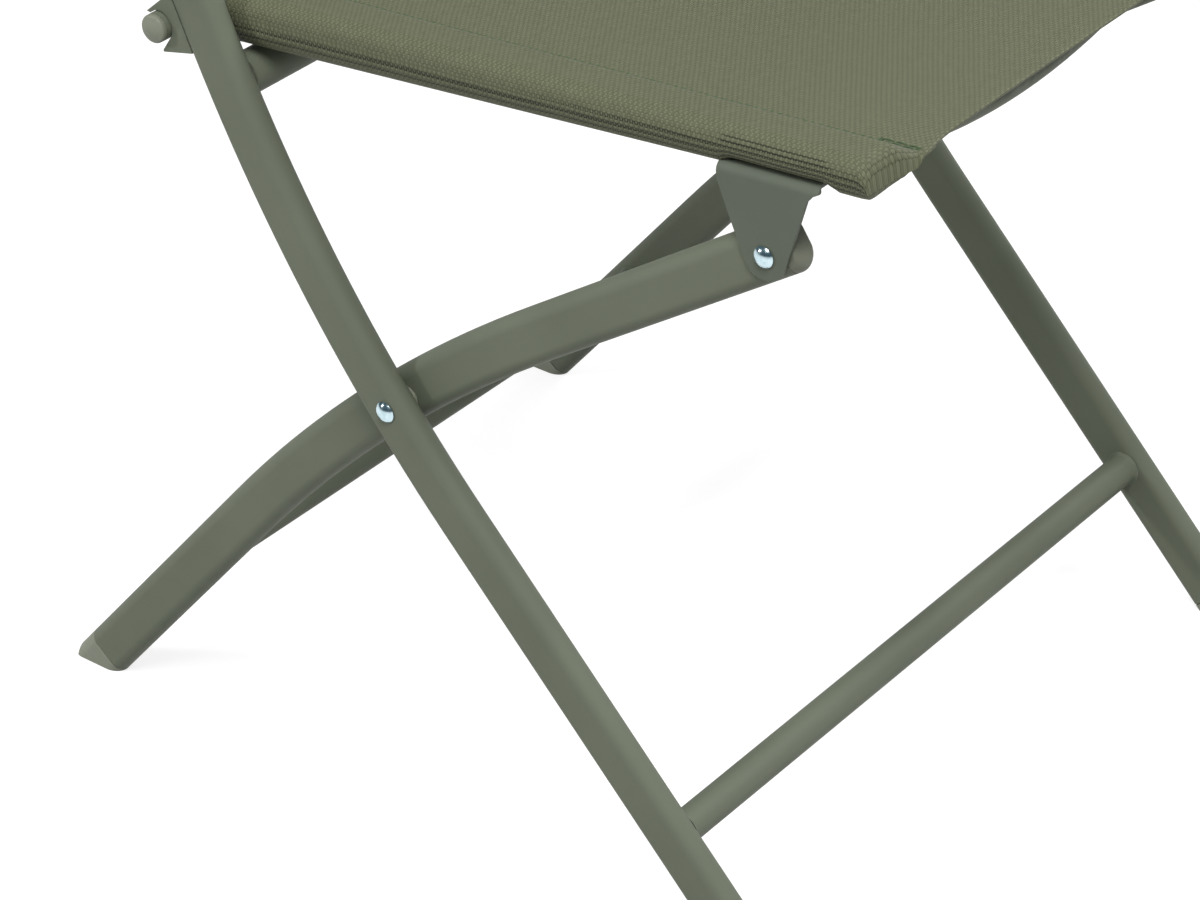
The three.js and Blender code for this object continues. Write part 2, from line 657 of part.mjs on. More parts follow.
function seatSling() {
  const start = seatPoint(0, SLING_FRONT, 0);
  const cloths = sling(
    RAIL_X, TUBE_WIDE, TUBE_THIN, SEAT_FACE, SEAT_SAG,
    start, seatUp, seatBack, SLING_REAR - SLING_FRONT,
  );
  const cuts = [];
  for (const [, sign] of SIDES) {
    for (const along of rivetAlongs) {
      cuts.push(upHole(sign * RAIL_X, along));
    }
    cuts.push(rod(smallHole, seatPoint(sign * RAIL_X, slingRivetAlong, 0), seatUp, FAR / 4, 12));
  }
  return drill(cloths, cuts);
}

// Domed cap with a spigot in the rear bar's bore
function barCap() {
  const bore = REAR_BAR_R - WALL - GAP;
  const r = REAR_BAR_R;
  const spigot = [[0, -12], [bore, -12], [bore, GAP]];
  const dome = [[r, GAP], [r, 1.8], [r * 0.88, 3.3], [r * 0.55, 4.2], [0, 4.6]];
  return [...spigot, ...dome];
}

// Plug in a rail's front end
function railPlug(sign) {
  const bore = TUBE_THIN - 2 * WALL - 2 * GAP;
  const start = seatPoint(sign * RAIL_X, RAIL_FRONT - GAP - RAIL_PLUG_FACE, 0);
  const face = prism(oval(TUBE_WIDE, TUBE_THIN), start, seatUp, seatBack, RAIL_PLUG_FACE);
  const flat = TUBE_WIDE - TUBE_THIN;
  const spigotStart = seatPoint(sign * RAIL_X, RAIL_FRONT - 2 * GAP, 0);
  const spigot = prism(oval(bore + flat, bore), spigotStart, seatUp, seatBack, RAIL_PLUG_SPIGOT);
  return fuse(face, spigot);
}

for (const [name, sign] of SIDES) {
  const outward = new THREE.Vector3(sign, 0, 0);
  const x = sign * RAIL_X;
  place(seatFrame, `seat_rail_${name}`, seatRail(sign), paint);
  place(seatFrame, `rail_plug_${name}`, railPlug(sign), plastic);
  place(seatFrame, `seat_bracket_${name}`, bracket(sign), paint);
  const hingeFace = new THREE.Vector3(sign * (legInner - GAP), seatHinge.y, seatHinge.z);
  const hingeGrip = bracketPlateOuter + GAP - (legInner - GAP);
  const hingeRivet = rivet(HINGE_SHANK_R, HINGE_HEAD_R, hingeGrip, hingeFace, outward);
  place(legFrame, `hinge_rivet_${name}`, hingeRivet, zinc);
  const down = seatUp.clone().negate();
  const railFloor = -TUBE_THIN / 2 + WALL + GAP;
  for (const [index, along] of rivetAlongs.entries()) {
    const grip = railFloor - (flangeTop - PLATE - GAP);
    const small = rivet(SMALL_SHANK_R, SMALL_HEAD_R, grip, seatPoint(x, along, railFloor), down);
    place(seatFrame, `bracket_rivet_${name}_${index + 1}`, small, paint);
  }
  const top = sleeveThin / 2 + GAP;
  const railRoof = TUBE_THIN / 2 - WALL - GAP;
  const roofPoint = seatPoint(x, slingRivetAlong, railRoof);
  const button = rivet(SMALL_SHANK_R, SMALL_HEAD_R, top - railRoof, roofPoint, seatUp);
  place(seatFrame, `sling_rivet_${name}`, button, paint);
  const capStart = new THREE.Vector3(sign * REAR_BAR_END, barCentre.y, barCentre.z);
  place(seatFrame, `bar_cap_${name}`, turned(barCap(), capStart, outward, 24), plastic);
}
place(seatFrame, "front_crossbar", frontCrossbar(), paint);
place(seatFrame, "rear_bar", roundTube(REAR_BAR_R, REAR_BAR_END, barCentre.y, barCentre.z), paint);
place(seatFrame, "seat_sling", seatSling(), cloth);

// The origin is under the middle of the whole chair
const box = new THREE.Box3().setFromObject(chair);
const shift = -(box.min.y + box.max.y) / 2;
for (const group of [backFrame, legFrame, seatFrame]) {
  group.position.y = shift;
}

export default chair;
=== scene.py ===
"""Folding lawn chair: powder-coated tube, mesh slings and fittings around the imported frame.

Metres, +Z up. The sitter faces -Y, and the sitter's right is -X.
"""
import json
import math
import random

import bmesh
import bpy
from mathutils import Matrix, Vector


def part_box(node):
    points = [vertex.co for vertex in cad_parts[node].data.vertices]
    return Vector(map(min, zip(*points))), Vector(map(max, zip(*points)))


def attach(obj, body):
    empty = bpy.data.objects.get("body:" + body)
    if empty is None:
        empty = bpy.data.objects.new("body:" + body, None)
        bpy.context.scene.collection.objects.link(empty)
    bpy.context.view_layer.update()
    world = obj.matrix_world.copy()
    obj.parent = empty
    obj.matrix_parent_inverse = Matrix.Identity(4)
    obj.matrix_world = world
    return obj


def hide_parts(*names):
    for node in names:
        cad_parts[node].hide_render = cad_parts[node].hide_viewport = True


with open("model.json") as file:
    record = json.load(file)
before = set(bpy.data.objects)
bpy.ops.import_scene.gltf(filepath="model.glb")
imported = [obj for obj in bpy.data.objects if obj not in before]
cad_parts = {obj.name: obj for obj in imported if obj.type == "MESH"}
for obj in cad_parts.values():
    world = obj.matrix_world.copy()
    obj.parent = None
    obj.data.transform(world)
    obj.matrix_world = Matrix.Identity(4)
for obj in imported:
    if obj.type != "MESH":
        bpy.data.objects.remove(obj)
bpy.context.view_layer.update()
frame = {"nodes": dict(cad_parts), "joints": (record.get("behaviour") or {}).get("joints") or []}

PLACES = {joint["name"]: Vector(joint["pos_m"]) for joint in frame["joints"]}
PIVOT = PLACES["leg_fold"]
HINGE = PLACES["seat_fold"]
SIDES = (("right", -1), ("left", 1))
ALONG_X = Vector((1, 0, 0))
ALONG_Y = Vector((0, 1, 0))
ALONG_Z = Vector((0, 0, 1))
QUARTER_TURN = math.pi / 2
FULL_TURN = 2 * math.pi

# Clearance and tube stock
GAP = 0.0003
TUBE_WIDE = 0.028
TUBE_THIN = 0.014
WALL = 0.0015
EDGE = 0.0005

# Fineness: points round a section, steps along a tube and turns along an arc
TUBE_POINTS = 44
RAIL_POINTS = 36
ROUND_POINTS = 48
CROSSBAR_POINTS = 40
TURNED_POINTS = 40
SMALL_POINTS = 28
SLEEVE_POINTS = 240
THREAD_POINTS = 6
LONG_STEP = 0.06
MID_STEP = 0.05
SHORT_STEP = 0.04
BEND_STEP = 0.012
CORNER_TURN = math.pi / 28
TIP_TURN = math.pi / 24
FINE_TURN = math.pi / 20
BEND_TURN = math.pi / 16
CAP_TURN = math.pi / 14

# Side profile: Y from the leg pivot, Z from the floor
UPRIGHT_X = 0.2175
UPRIGHT_KNEE = (0.0539, 0.3114)
UPRIGHT_LOW = math.radians(46.1)
UPRIGHT_HIGH = math.radians(65.4)
UPRIGHT_BEND = 0.821
UPRIGHT_ABOVE_BEND = 0.379
CORNER_RADIUS = 0.052
CORNER_STRAIGHT = 0.020
LEG_X = 0.2007
LEG_KNEE = (0.0288, 0.2501)
LEG_LOW = math.radians(129.6)
LEG_HIGH = math.radians(145.6)
LEG_BEND = 0.933
LEG_PAST_HINGE = 0.0084
FOOT_LIFT = 0.0014
FOOT_TOE = 0.005
FOOT_BLANK = 0.06
PLUG_LENGTH = 0.0075
PLUG_CORNER = 0.0065
PLUG_SOFT = 0.0022

# Weld at the end of a cross tube: shares of its flare, inwards and outwards
WELD_FLARE = 0.0014
SMALL_WELD_FLARE = 0.0006
WELD_CURVE = ((0.3, 0.6), (0.8, 0.22), (1.6, 0.0))
WELD_CLEAR = 0.01

# Seat plane
SEAT_TILT = math.radians(4.2)
RAIL_ABOVE_HINGE = 0.0504
RAIL_X = 0.1941
RAIL_FRONT = -0.0465
RAIL_BORE = 0.013
RAIL_COPE = 0.03
CROSSBAR_DROP = 0.0376
CROSSBAR_R = 0.007

# Seat bracket
PLATE = 0.0018
BRACKET_BEND = 0.0047
BRACKET_HALF = 0.0246
BRACKET_TONGUE = 0.0065
BRACKET_SHOULDER = 0.013
BRACKET_TIP_R = 0.012
BRACKET_TIP_FLAT = 0.06
BRACKET_COLUMNS = 16
BRACKET_RIVET_PITCH = 0.034
TONGUE_AT = 0.4 * BRACKET_BEND
TONGUE_HALF = 0.7 * BRACKET_BEND
FLANGE_INNER_X = 0.182
FLANGE_STEP = 0.006
LEAF_STEPS = (0.003, 0.004)

# Hook plate, from the rear bar's centre: away from the upright and up along it
HOOK_THICK = 0.003
HOOK_OFFSET = 0.003
HOOK_WEB = 0.0065
HOOK_RAMP = math.radians(32)
HOOK_UPPER = math.radians(66)
HOOK_LOW = ((-0.021, -0.0182), (0.0042, -0.0132))
HOOK_LIP = 0.0042
HOOK_TOP = ((0.0053, 0.0087), (-0.021, 0.0168))
REST_GAP = 0.0005

# Eased edges: width, segments, and the least angle in degrees
FOOT_EASE = (0.0016, 4, 35)
HOOK_EASE = (0.0004, 2, 40)
BRACKET_EASE = (0.0005, 2, 60)

# Slings: LAYER is the distance of two layers in thicknesses of cloth
CLOTH = 0.0012
LAYER = 1.05
SEAT_ENDS = (-0.0537, 0.322)
SEAT_FACE = -0.0005
SEAT_SAG = 0.001
SEAT_SEAM_IN = 0.0105
BACK_ENDS = (0.140, 0.391)
BACK_FACE = (TUBE_WIDE - TUBE_THIN) / 2
BACK_SAG = 0.012
BACK_SEAM_IN = 0.0048
SLEEVE_STEP = 0.0007
PANEL_STEP = 0.005
ROW_STEP = 0.003
END_ROWS = (0.0, 0.0006, 0.0015, 0.003)
ROWS_FROM = 0.006

# Loose sleeve: hang at the bracket and per metre behind it, and the drawn-in front end
SLEEVE_HANG = (0.0032, 0.025)
HANG_FROM = 0.012
HANG_WIDE = 0.022
FLANGE_SPAN = (-0.0305, 0.0235)
FLANGE_EASE = 0.004
SLEEVE_END = 0.0074
SLEEVE_END_RISE = -0.0062
SLEEVE_SPAN = 0.005
END_BUMP = 0.003
END_BUMP_WIDE = 0.016
END_BUMP_LONG = 0.030

# Ribs, hems, seams and cut ends of the cloth
SELVEDGE = 0.0145
RIB_FROM = 0.0105
RIB_EASE = 0.003
RIDGE_PITCH = 0.0024
RIDGE_DEPTH = 0.00045
END_BAND = 0.0052
END_BAND_EASE = 0.001
END_OPEN = 0.35
END_RIDGE = 0.0018
END_ROUND = 0.0011
END_THIN = 0.25
END_PULL = 0.0022
HEM_UNDER = 0.011
HEM_DEEP = 0.009
HEM_EASE = 0.0015
HEM_THICK = 0.8 * CLOTH
SEAM_WIDE = 0.006
SEAM_SINK = 0.0004
SEAM_FLOOR = -0.002
PUCKER = 0.00018
PUCKER_WAVE = 0.0019
PUCKER_DRIFT = (1.4, 0.013)
SLACK = ((0.0001, 0.021), (0.00008, 0.0083))
INNER_SHARE = 0.4

# Weave
WARP_PITCH = 0.00216
WEFT_PITCH = 0.00141
WANDER = 0.0009
YARN_DIP = 0.4

# Stitching: length and space of a stitch, and shares of the thread's radius
THREAD_R = 0.00032
THREAD_STATIONS = 5
THREAD_RISE = 1.1
THREAD_DIP = 0.4
THREAD_END = 0.55
SEAM_STITCH = (0.0034, 0.0011)
SEAM_END = 0.004
SEAM_SUNK = 0.0002
SEAM_OUT = 0.8 * END_BUMP
TACK_STITCH = (0.0062, 0.0008)
TACK_PITCH = 0.0021
TACK_HALF = 1.4 * TACK_PITCH
TACK_STAGGER = 0.0016
TACK_CROSS = 0.0012
TACK_LONG = 0.021
TACK_END = 0.003

# Fasteners and caps: a tail's points are shares of the radius, and lengths
HEAD_HEIGHT = 0.0024
HEAD_EXTRA = 0.0005
HEAD_RIM = 0.0004
HEAD_CROWN = 0.0027
HEAD_EASE = 0.0002
HEAD_UNDER = 0.97
SHANK_SHARE = 0.55
TAIL = ((0.8, 0.0), (0.9, 0.0005), (0.9, 0.0014), (SHANK_SHARE, 0.0016))
SMALL_HEAD_R = 0.0036
SMALL_HEAD = 0.0024
SMALL_RIM = 0.0005
SMALL_SHANK_R = 0.0018
SMALL_SHANK = 0.006
RIVET_SUNK = 0.0001
BUTTON_FROM_END = 0.012
WASHER_EASE = 0.0004
CAP_INSIDE = 0.012
CAP_RIM = 0.0017
CAP_ROUND = 0.0016
CAP_EASE = 0.0002
CAP_CROWN = (0.7, 0.4, 0.15, 0.0)

# Colours in sRGB, pairs from dark to light
PAINT_TONES = ((100, 106, 91), (106, 112, 96))
# Painted shade: the brackets' darker powder coat stands for the shadow of the seat sleeve above them
SHADED_PLATE_TONES = ((89, 95, 84), (95, 101, 89))
PAINT_SPECK = (78, 84, 70)
PAINT_RUBBED = (150, 155, 142)
PLASTIC_TONES = ((114, 118, 103), (123, 127, 112))
FOOT_TONES = ((122, 126, 111), (131, 135, 120))
PLUG_TONES = ((98, 101, 87), (106, 109, 94))
PLASTIC_SCUFF = (80, 83, 71)
ZINC_TONES = ((178, 202, 210), (208, 226, 232))
THREAD_TONES = ((62, 80, 58), (90, 110, 83))
# Painted shading of the weave: warp-up cells take the lighter tones, weft-up cells the darker
WARP_LIT_TONES = ((100, 103, 80), (111, 114, 89))
WEFT_SHADED_TONES = ((79, 82, 61), (90, 93, 71))
BROAD_TONES = ((93, 95, 73), (99, 101, 78))
# Painted shade in the hollows and openings of the weave
WEAVE_GAP_SHADE = (40, 43, 30)

# Masks and studio, linear colours
BLACK = (0, 0, 0)
WHITE = (1, 1, 1)
FLOOR_HALF = 6.0
FLOOR_GREY = (0.35, 0.35, 0.35, 1)
FLOOR_GLOW = 0.78
WORLD_LIGHT = (0.38, 0.383, 0.386)
CEILING = (0.05, 0.09, 0.11)

# Photograph's camera, from the pivot's Y and the floor
CAMERA_AT = (-1.52075, -1.12217, 1.31883)
CAMERA_TURN = (math.radians(57.762), 0.0, math.radians(-52.651))
CAMERA_LENS = 122.51
SENSOR = 36.0


# Directions and paths in the side plane

def heading(angle):
    return Vector((0, math.cos(angle), math.sin(angle)))


def left_of(angle):
    return Vector((0, -math.sin(angle), math.cos(angle)))


class BentPath:
    """Straight, bend, straight in the side plane, by length from the start of the bend."""

    def __init__(self, knee, low, high, radius):
        self.low = low
        self.high = high
        self.radius = radius
        at = Vector((0, PIVOT.y + knee[0], knee[1]))
        tangent = radius * math.tan((high - low) / 2)
        self.start = at - heading(low) * tangent
        self.end = at + heading(high) * tangent
        self.centre = self.start + left_of(low) * radius
        self.arc = radius * (high - low)

    def angle(self, s):
        return self.low + min(max(s, 0.0), self.arc) / self.radius

    def point(self, s):
        if s < 0:
            return self.start + heading(self.low) * s
        if s > self.arc:
            return self.end + heading(self.high) * (s - self.arc)
        return self.centre - left_of(self.angle(s)) * self.radius

    def foot(self):
        """Place of the square-cut lower end, whose lowest corner is a little above the floor."""
        corner = TUBE_WIDE / 2 * abs(math.cos(self.low))
        return -(self.start.z - FOOT_LIFT - corner) / math.sin(self.low)

    def stations(self, x, top, step):
        """Stations of a tube from its foot up to a length above the bend's start."""
        along = [*steps(self.foot(), 0, LONG_STEP), *steps(0, self.arc, BEND_STEP)[1:]]
        along += steps(self.arc, top, step)[1:]
        stations = []
        for s in along:
            angle = self.angle(s)
            stations.append((self.point(s) + ALONG_X * x, heading(angle), ALONG_X, left_of(angle)))
        return stations


upright = BentPath(UPRIGHT_KNEE, UPRIGHT_LOW, UPRIGHT_HIGH, UPRIGHT_BEND)
leg = BentPath(LEG_KNEE, LEG_LOW, LEG_HIGH, LEG_BEND)
LEG_TOP = leg.arc + (HINGE - leg.end).dot(heading(LEG_HIGH)) + LEG_PAST_HINGE

BACK_UP = heading(UPRIGHT_HIGH)
BACK_FRONT = left_of(UPRIGHT_HIGH)
SEAT_BACK = heading(-SEAT_TILT)
SEAT_UP = left_of(-SEAT_TILT)
SEAT_ORIGIN = HINGE + ALONG_Z * RAIL_ABOVE_HINGE
SLEEVE_THIN = TUBE_THIN + 2 * GAP + 2 * CLOTH
FLANGE_TOP = -SLEEVE_THIN / 2 - GAP


def seat_point(x, along, rise):
    point = SEAT_ORIGIN + SEAT_BACK * along + SEAT_UP * rise
    point.x = x
    return point


def back_point(x, along, rise):
    point = upright.end + BACK_UP * along + BACK_FRONT * rise
    point.x = x
    return point


def seat_place(point):
    """Along and rise of a point in the seat plane."""
    offset = point - SEAT_ORIGIN
    return offset.dot(SEAT_BACK), offset.dot(SEAT_UP)


def round_node(node):
    """Centre, radius and length of a round node that lies along X."""
    low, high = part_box(node)
    return (low + high) / 2, (high.z - low.z) / 2, high.x - low.x


BAR, BAR_R, BAR_LONG = round_node("rear_bar")
HINGE_ALONG, HINGE_RISE = seat_place(HINGE)


def steps(start, end, step):
    count = max(1, round(abs(end - start) / step))
    return [start + (end - start) * i / count for i in range(count + 1)]


def clamp(value):
    return min(max(value, 0.0), 1.0)


# Shader helpers

def srgb(red, green, blue):
    def linear(value):
        value /= 255
        return value / 12.92 if value <= 0.04045 else ((value + 0.055) / 1.055) ** 2.4

    return linear(red), linear(green), linear(blue)


class Nodes:
    """Adds and links the nodes of one shader tree."""

    def __init__(self, tree):
        self.tree = tree
        self.link = tree.links.new

    def add(self, kind, **settings):
        node = self.tree.nodes.new(kind)
        for key, value in settings.items():
            setattr(node, key, value)
        return node

    def plug(self, socket, value):
        if isinstance(value, bpy.types.NodeSocket):
            self.link(value, socket)
        else:
            socket.default_value = value

    def math(self, operation, *values):
        node = self.add("ShaderNodeMath", operation=operation)
        for socket, value in zip(node.inputs, values):
            self.plug(socket, value)
        return node.outputs[0]

    def times(self, first, second):
        return self.math("MULTIPLY", first, second)

    def sine(self, value, turn):
        return self.math("SINE", self.times(value, turn))

    def span(self, value, low, high):
        """Value from 0..1 spread over low..high."""
        return self.math("MULTIPLY_ADD", value, high - low, low)

    def split(self, vector):
        node = self.add("ShaderNodeSeparateXYZ")
        self.link(vector, node.inputs[0])
        return node.outputs

    def object_place(self):
        return self.add("ShaderNodeTexCoord").outputs["Object"]

    def noise(self, vector, scale, detail=2.0, roughness=0.5, output=0):
        node = self.add("ShaderNodeTexNoise")
        self.link(vector, node.inputs["Vector"])
        node.inputs["Scale"].default_value = scale
        node.inputs["Detail"].default_value = detail
        node.inputs["Roughness"].default_value = roughness
        return node.outputs[output]

    def ramp(self, factor, low, first, high, second):
        """First colour up to low, second from high on."""
        node = self.add("ShaderNodeValToRGB")
        stops = ((low, first), (high, second))
        for element, (position, colour) in zip(node.color_ramp.elements, stops):
            element.position = position
            element.color = (*colour, 1)
        self.link(factor, node.inputs[0])
        return node.outputs[0]

    def mask(self, factor, low, high):
        return self.ramp(factor, low, BLACK, high, WHITE)

    def tone(self, factor, tones, low=0.3, high=0.7):
        return self.ramp(factor, low, srgb(*tones[0]), high, srgb(*tones[1]))

    def mix(self, factor, first, second, kind="RGBA"):
        """Mixes two colours, or two numbers where the kind is FLOAT."""
        node = self.add("ShaderNodeMix", data_type=kind)
        low, high, out = (6, 7, 2) if kind == "RGBA" else (2, 3, 0)
        for socket, value in ((0, factor), (low, first), (high, second)):
            self.plug(node.inputs[socket], (*value, 1) if isinstance(value, tuple) else value)
        return node.outputs[out]

    def bump(self, height, distance, strength):
        node = self.add("ShaderNodeBump")
        node.inputs["Strength"].default_value = strength
        node.inputs["Distance"].default_value = distance
        self.link(height, node.inputs["Height"])
        return node.outputs[0]

    def dress(self, shader, colour, roughness, normal):
        for key, source in (("Base Color", colour), ("Roughness", roughness), ("Normal", normal)):
            self.link(source, shader.inputs[key])


def make_material(name):
    material = bpy.data.materials.new(name)
    material.use_nodes = True
    tree = material.node_tree
    return material, Nodes(tree), tree.nodes["Principled BSDF"]


# Materials

def powder_coat(name, tones):
    """Fine-textured powder coat: slow tone drift, orange-peel grain and rubbed edges."""
    material, nodes, shader = make_material(name)
    place = nodes.object_place()
    tone = nodes.tone(nodes.noise(place, 14, 3), tones)
    grain = nodes.noise(place, 2600)
    speckled = nodes.mix(nodes.times(grain, 0.16), tone, srgb(*PAINT_SPECK))
    edge = nodes.add("ShaderNodeNewGeometry").outputs["Pointiness"]
    patch = nodes.mask(nodes.noise(place, 160, 3), 0.45, 0.7)
    wear = nodes.times(nodes.times(nodes.mask(edge, 0.54, 0.62), patch), 0.35)
    colour = nodes.mix(wear, speckled, srgb(*PAINT_RUBBED))
    roughness = nodes.span(nodes.noise(place, 90, 3), 0.5, 0.66)
    nodes.dress(shader, colour, roughness, nodes.bump(grain, 0.00006, 0.5))
    shader.inputs["Specular IOR Level"].default_value = 0.22
    return material


def moulded_plastic(name, tones):
    """Olive plastic with a spark-eroded grain and a few darker scuffs."""
    material, nodes, shader = make_material(name)
    place = nodes.object_place()
    tone = nodes.tone(nodes.noise(place, 30, 3), tones)
    scuff = nodes.mask(nodes.noise(place, 420, 4), 0.58, 0.75)
    colour = nodes.mix(nodes.times(scuff, 0.2), tone, srgb(*PLASTIC_SCUFF))
    roughness = nodes.span(nodes.noise(place, 200), 0.5, 0.7)
    nodes.dress(shader, colour, roughness, nodes.bump(nodes.noise(place, 1800), 0.00005, 0.5))
    return material


def zinc_plate():
    """Bright bluish zinc, cloudy and faintly uneven."""
    material, nodes, shader = make_material("zinc_plate")
    place = nodes.object_place()
    cloud = nodes.noise(place, 260, 3)
    roughness = nodes.span(cloud, 0.12, 0.26)
    normal = nodes.bump(nodes.noise(place, 1500), 0.00002, 0.35)
    nodes.dress(shader, nodes.tone(cloud, ZINC_TONES), roughness, normal)
    shader.inputs["Metallic"].default_value = 1.0
    return material


def sewing_thread():
    """Matt twisted thread, darker and greener than the cloth."""
    material, nodes, shader = make_material("sewing_thread")
    twist = nodes.noise(nodes.object_place(), 3200)
    roughness = nodes.span(twist, 0.55, 0.8)
    nodes.dress(shader, nodes.tone(twist, THREAD_TONES), roughness, nodes.bump(twist, 0.0001, 0.6))
    shader.inputs["Specular IOR Level"].default_value = 0.0
    return material


def weave_height(nodes, flat):
    """Height of the yarns, and where the warp is on top."""
    shift = nodes.add("ShaderNodeVectorMath", operation="MULTIPLY_ADD")
    nodes.link(nodes.noise(flat, 55, output=1), shift.inputs[0])
    shift.inputs[1].default_value = (WANDER, WANDER, 0)
    nodes.link(flat, shift.inputs[2])
    u, v, _ = nodes.split(shift.outputs[0])
    across = nodes.math("DIVIDE", u, WARP_PITCH)
    along = nodes.math("DIVIDE", v, WEFT_PITCH)
    cell = nodes.math("ADD", nodes.math("FLOOR", across), nodes.math("FLOOR", along))
    warp_up = nodes.math("FLOORED_MODULO", cell, 2.0)
    across_part = nodes.math("FRACT", across)
    across_arch = nodes.sine(across_part, math.pi)
    along_arch = nodes.sine(nodes.math("FRACT", along), math.pi)
    pair = nodes.math("ABSOLUTE", nodes.sine(across_part, FULL_TURN))
    warp = nodes.times(nodes.math("POWER", pair, 0.5), nodes.span(along_arch, YARN_DIP, 1.0))
    weft = nodes.times(nodes.math("POWER", along_arch, 0.5), nodes.span(across_arch, YARN_DIP, 1.0))
    return nodes.mix(warp_up, weft, warp, "FLOAT"), warp_up


def mesh_cloth():
    """Coated-yarn mesh: paired warp yarns along the chair and single weft yarns across it.

    The uv map holds metres: u across the cloth and v along it. The edge attribute opens the weave and deepens
    the painted shade in its hollows.
    """
    material, nodes, shader = make_material("mesh_cloth")
    flat = nodes.add("ShaderNodeUVMap", uv_map="cloth").outputs[0]
    height, warp_up = weave_height(nodes, flat)
    yarn_tone = nodes.noise(flat, 240, 3, 0.65)
    # Painted shading: warp-up cells are lighter than weft-up cells, in place of how light falls on the two
    # yarn directions
    yarn = nodes.mix(warp_up, nodes.tone(yarn_tone, WEFT_SHADED_TONES), nodes.tone(yarn_tone, WARP_LIT_TONES))
    broad = nodes.tone(nodes.noise(nodes.object_place(), 9), BROAD_TONES, 0.35)
    yarn = nodes.mix(0.25, yarn, broad)
    edge = nodes.add("ShaderNodeAttribute", attribute_name="edge").outputs["Fac"]
    # Painted shade: the low parts of the weave darken towards the gap colour, fully where the edge weight
    # sinks the ribs and hems, half as much elsewhere
    groove = nodes.math("COSINE", nodes.times(nodes.split(flat)[0], FULL_TURN / RIDGE_PITCH))
    sunk = nodes.times(edge, nodes.span(groove, -0.16, -0.56))
    gap_shade = nodes.ramp(nodes.math("ADD", height, sunk), 0.12, WHITE, 0.5, BLACK)
    colour = nodes.mix(nodes.times(gap_shade, nodes.span(edge, 0.5, 1.0)), yarn, srgb(*WEAVE_GAP_SHADE))
    nodes.dress(shader, colour, nodes.span(height, 0.78, 0.56), nodes.bump(height, 0.00032, 0.8))
    shader.inputs["Specular IOR Level"].default_value = 0.22
    shader.inputs["Sheen Weight"].default_value = 0.03
    shader.inputs["Sheen Roughness"].default_value = 0.5
    return material


FINISH = {
    "paint": powder_coat("powder_coat", PAINT_TONES),
    # The brackets' darker powder coat is painted shade of the seat sleeve above them
    "plate": powder_coat("powder_coat_shaded_plate", SHADED_PLATE_TONES),
    "plastic": moulded_plastic("moulded_plastic", PLASTIC_TONES),
    "foot": moulded_plastic("foot_plastic", FOOT_TONES),
    "plug": moulded_plastic("plug_plastic", PLUG_TONES),
    "zinc": zinc_plate(),
    "thread": sewing_thread(),
    "cloth": mesh_cloth(),
}


# Mesh helpers

def new_object(name, data):
    made = bpy.data.objects.new(name, data)
    bpy.context.scene.collection.objects.link(made)
    return made


def mesh_from(name, verts, faces):
    mesh = bpy.data.meshes.new(name)
    mesh.from_pydata(verts, [], faces)
    return mesh


def ease_edges(shaper, width, segments, angle):
    """Rounds the edges that are sharper than an angle in degrees."""
    least = math.radians(angle)
    sharp = [edge for edge in shaper.edges if edge.is_manifold and edge.calc_face_angle() > least]
    bmesh.ops.bevel(
        shaper, geom=sharp, offset=width, segments=segments, profile=0.5,
        affect="EDGES", clamp_overlap=True,
    )


def finish_piece(name, mesh, body, slot, replaced, finish=None, sharp=35, ease=None):
    """Turns a mesh's faces outward, eases and shades it, gives it its finish and puts it on its body."""
    shaper = bmesh.new()
    shaper.from_mesh(mesh)
    bmesh.ops.recalc_face_normals(shaper, faces=shaper.faces)
    if ease:
        ease_edges(shaper, *ease)
    shaper.to_mesh(mesh)
    shaper.free()
    mesh.polygons.foreach_set("use_smooth", [True] * len(mesh.polygons))
    mesh.set_sharp_from_angle(angle=math.radians(sharp))
    piece = new_object(name, mesh)
    weighted = piece.modifiers.new("flat faces", "WEIGHTED_NORMAL")
    weighted.keep_sharp = True
    mesh.materials.append(FINISH[finish or slot])
    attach(piece, body)
    if replaced:
        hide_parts(*replaced)
    return piece


def loft(rings, ends="capped"):
    """Vertices and faces of a skin over rings of as many points each. Its ends are capped, joined or open."""
    count = len(rings[0])
    verts = [tuple(point) for ring in rings for point in ring]
    faces = []
    for i in range(len(rings) if ends == "joined" else len(rings) - 1):
        low = i * count
        high = (i + 1) % len(rings) * count
        for j in range(count):
            k = (j + 1) % count
            faces.append((low + j, low + k, high + k, high + j))
    if ends == "capped":
        faces += [tuple(range(count)), tuple(range(len(verts) - count, len(verts)))]
    return verts, faces


def sheet_faces(down, across):
    """Faces of a closed sheet of two layers, each of so many rows and columns of points."""
    def corner(layer, row, column):
        return (layer * down + row) * across + column

    faces = []
    for i in range(down - 1):
        for j in range(across - 1):
            for k in (0, 1):
                low = (corner(k, i, j), corner(k, i, j + 1))
                faces.append((*low, corner(k, i + 1, j + 1), corner(k, i + 1, j)))
        for j in (0, across - 1):
            faces.append((corner(0, i, j), corner(0, i + 1, j), corner(1, i + 1, j), corner(1, i, j)))
    for i in (0, down - 1):
        for j in range(across - 1):
            faces.append((corner(0, i, j), corner(0, i, j + 1), corner(1, i, j + 1), corner(1, i, j)))
    return faces


def circle(centre, first, second, radius, count):
    """Points round a centre, from the first direction towards the second."""
    turns = [FULL_TURN * i / count for i in range(count)]
    return [centre + (first * math.cos(turn) + second * math.sin(turn)) * radius for turn in turns]


def oval(size_p, size_q, count):
    """Points of a flat oval, counter-clockwise, with half of them on each round end."""
    radius = min(size_p, size_q) / 2
    flat_p = size_p / 2 - radius
    flat_q = size_q / 2 - radius
    first = 0 if flat_q >= flat_p else -QUARTER_TURN
    points = []
    for end, sign in ((0, 1), (1, -1)):
        for i in range(count // 2):
            turn = first + math.pi * (end + i / (count // 2 - 1))
            points.append((sign * flat_p + radius * math.cos(turn), sign * flat_q + radius * math.sin(turn)))
    return points


def ring_at(origin, p_axis, q_axis, section):
    return [origin + p_axis * p + q_axis * q for p, q in section]


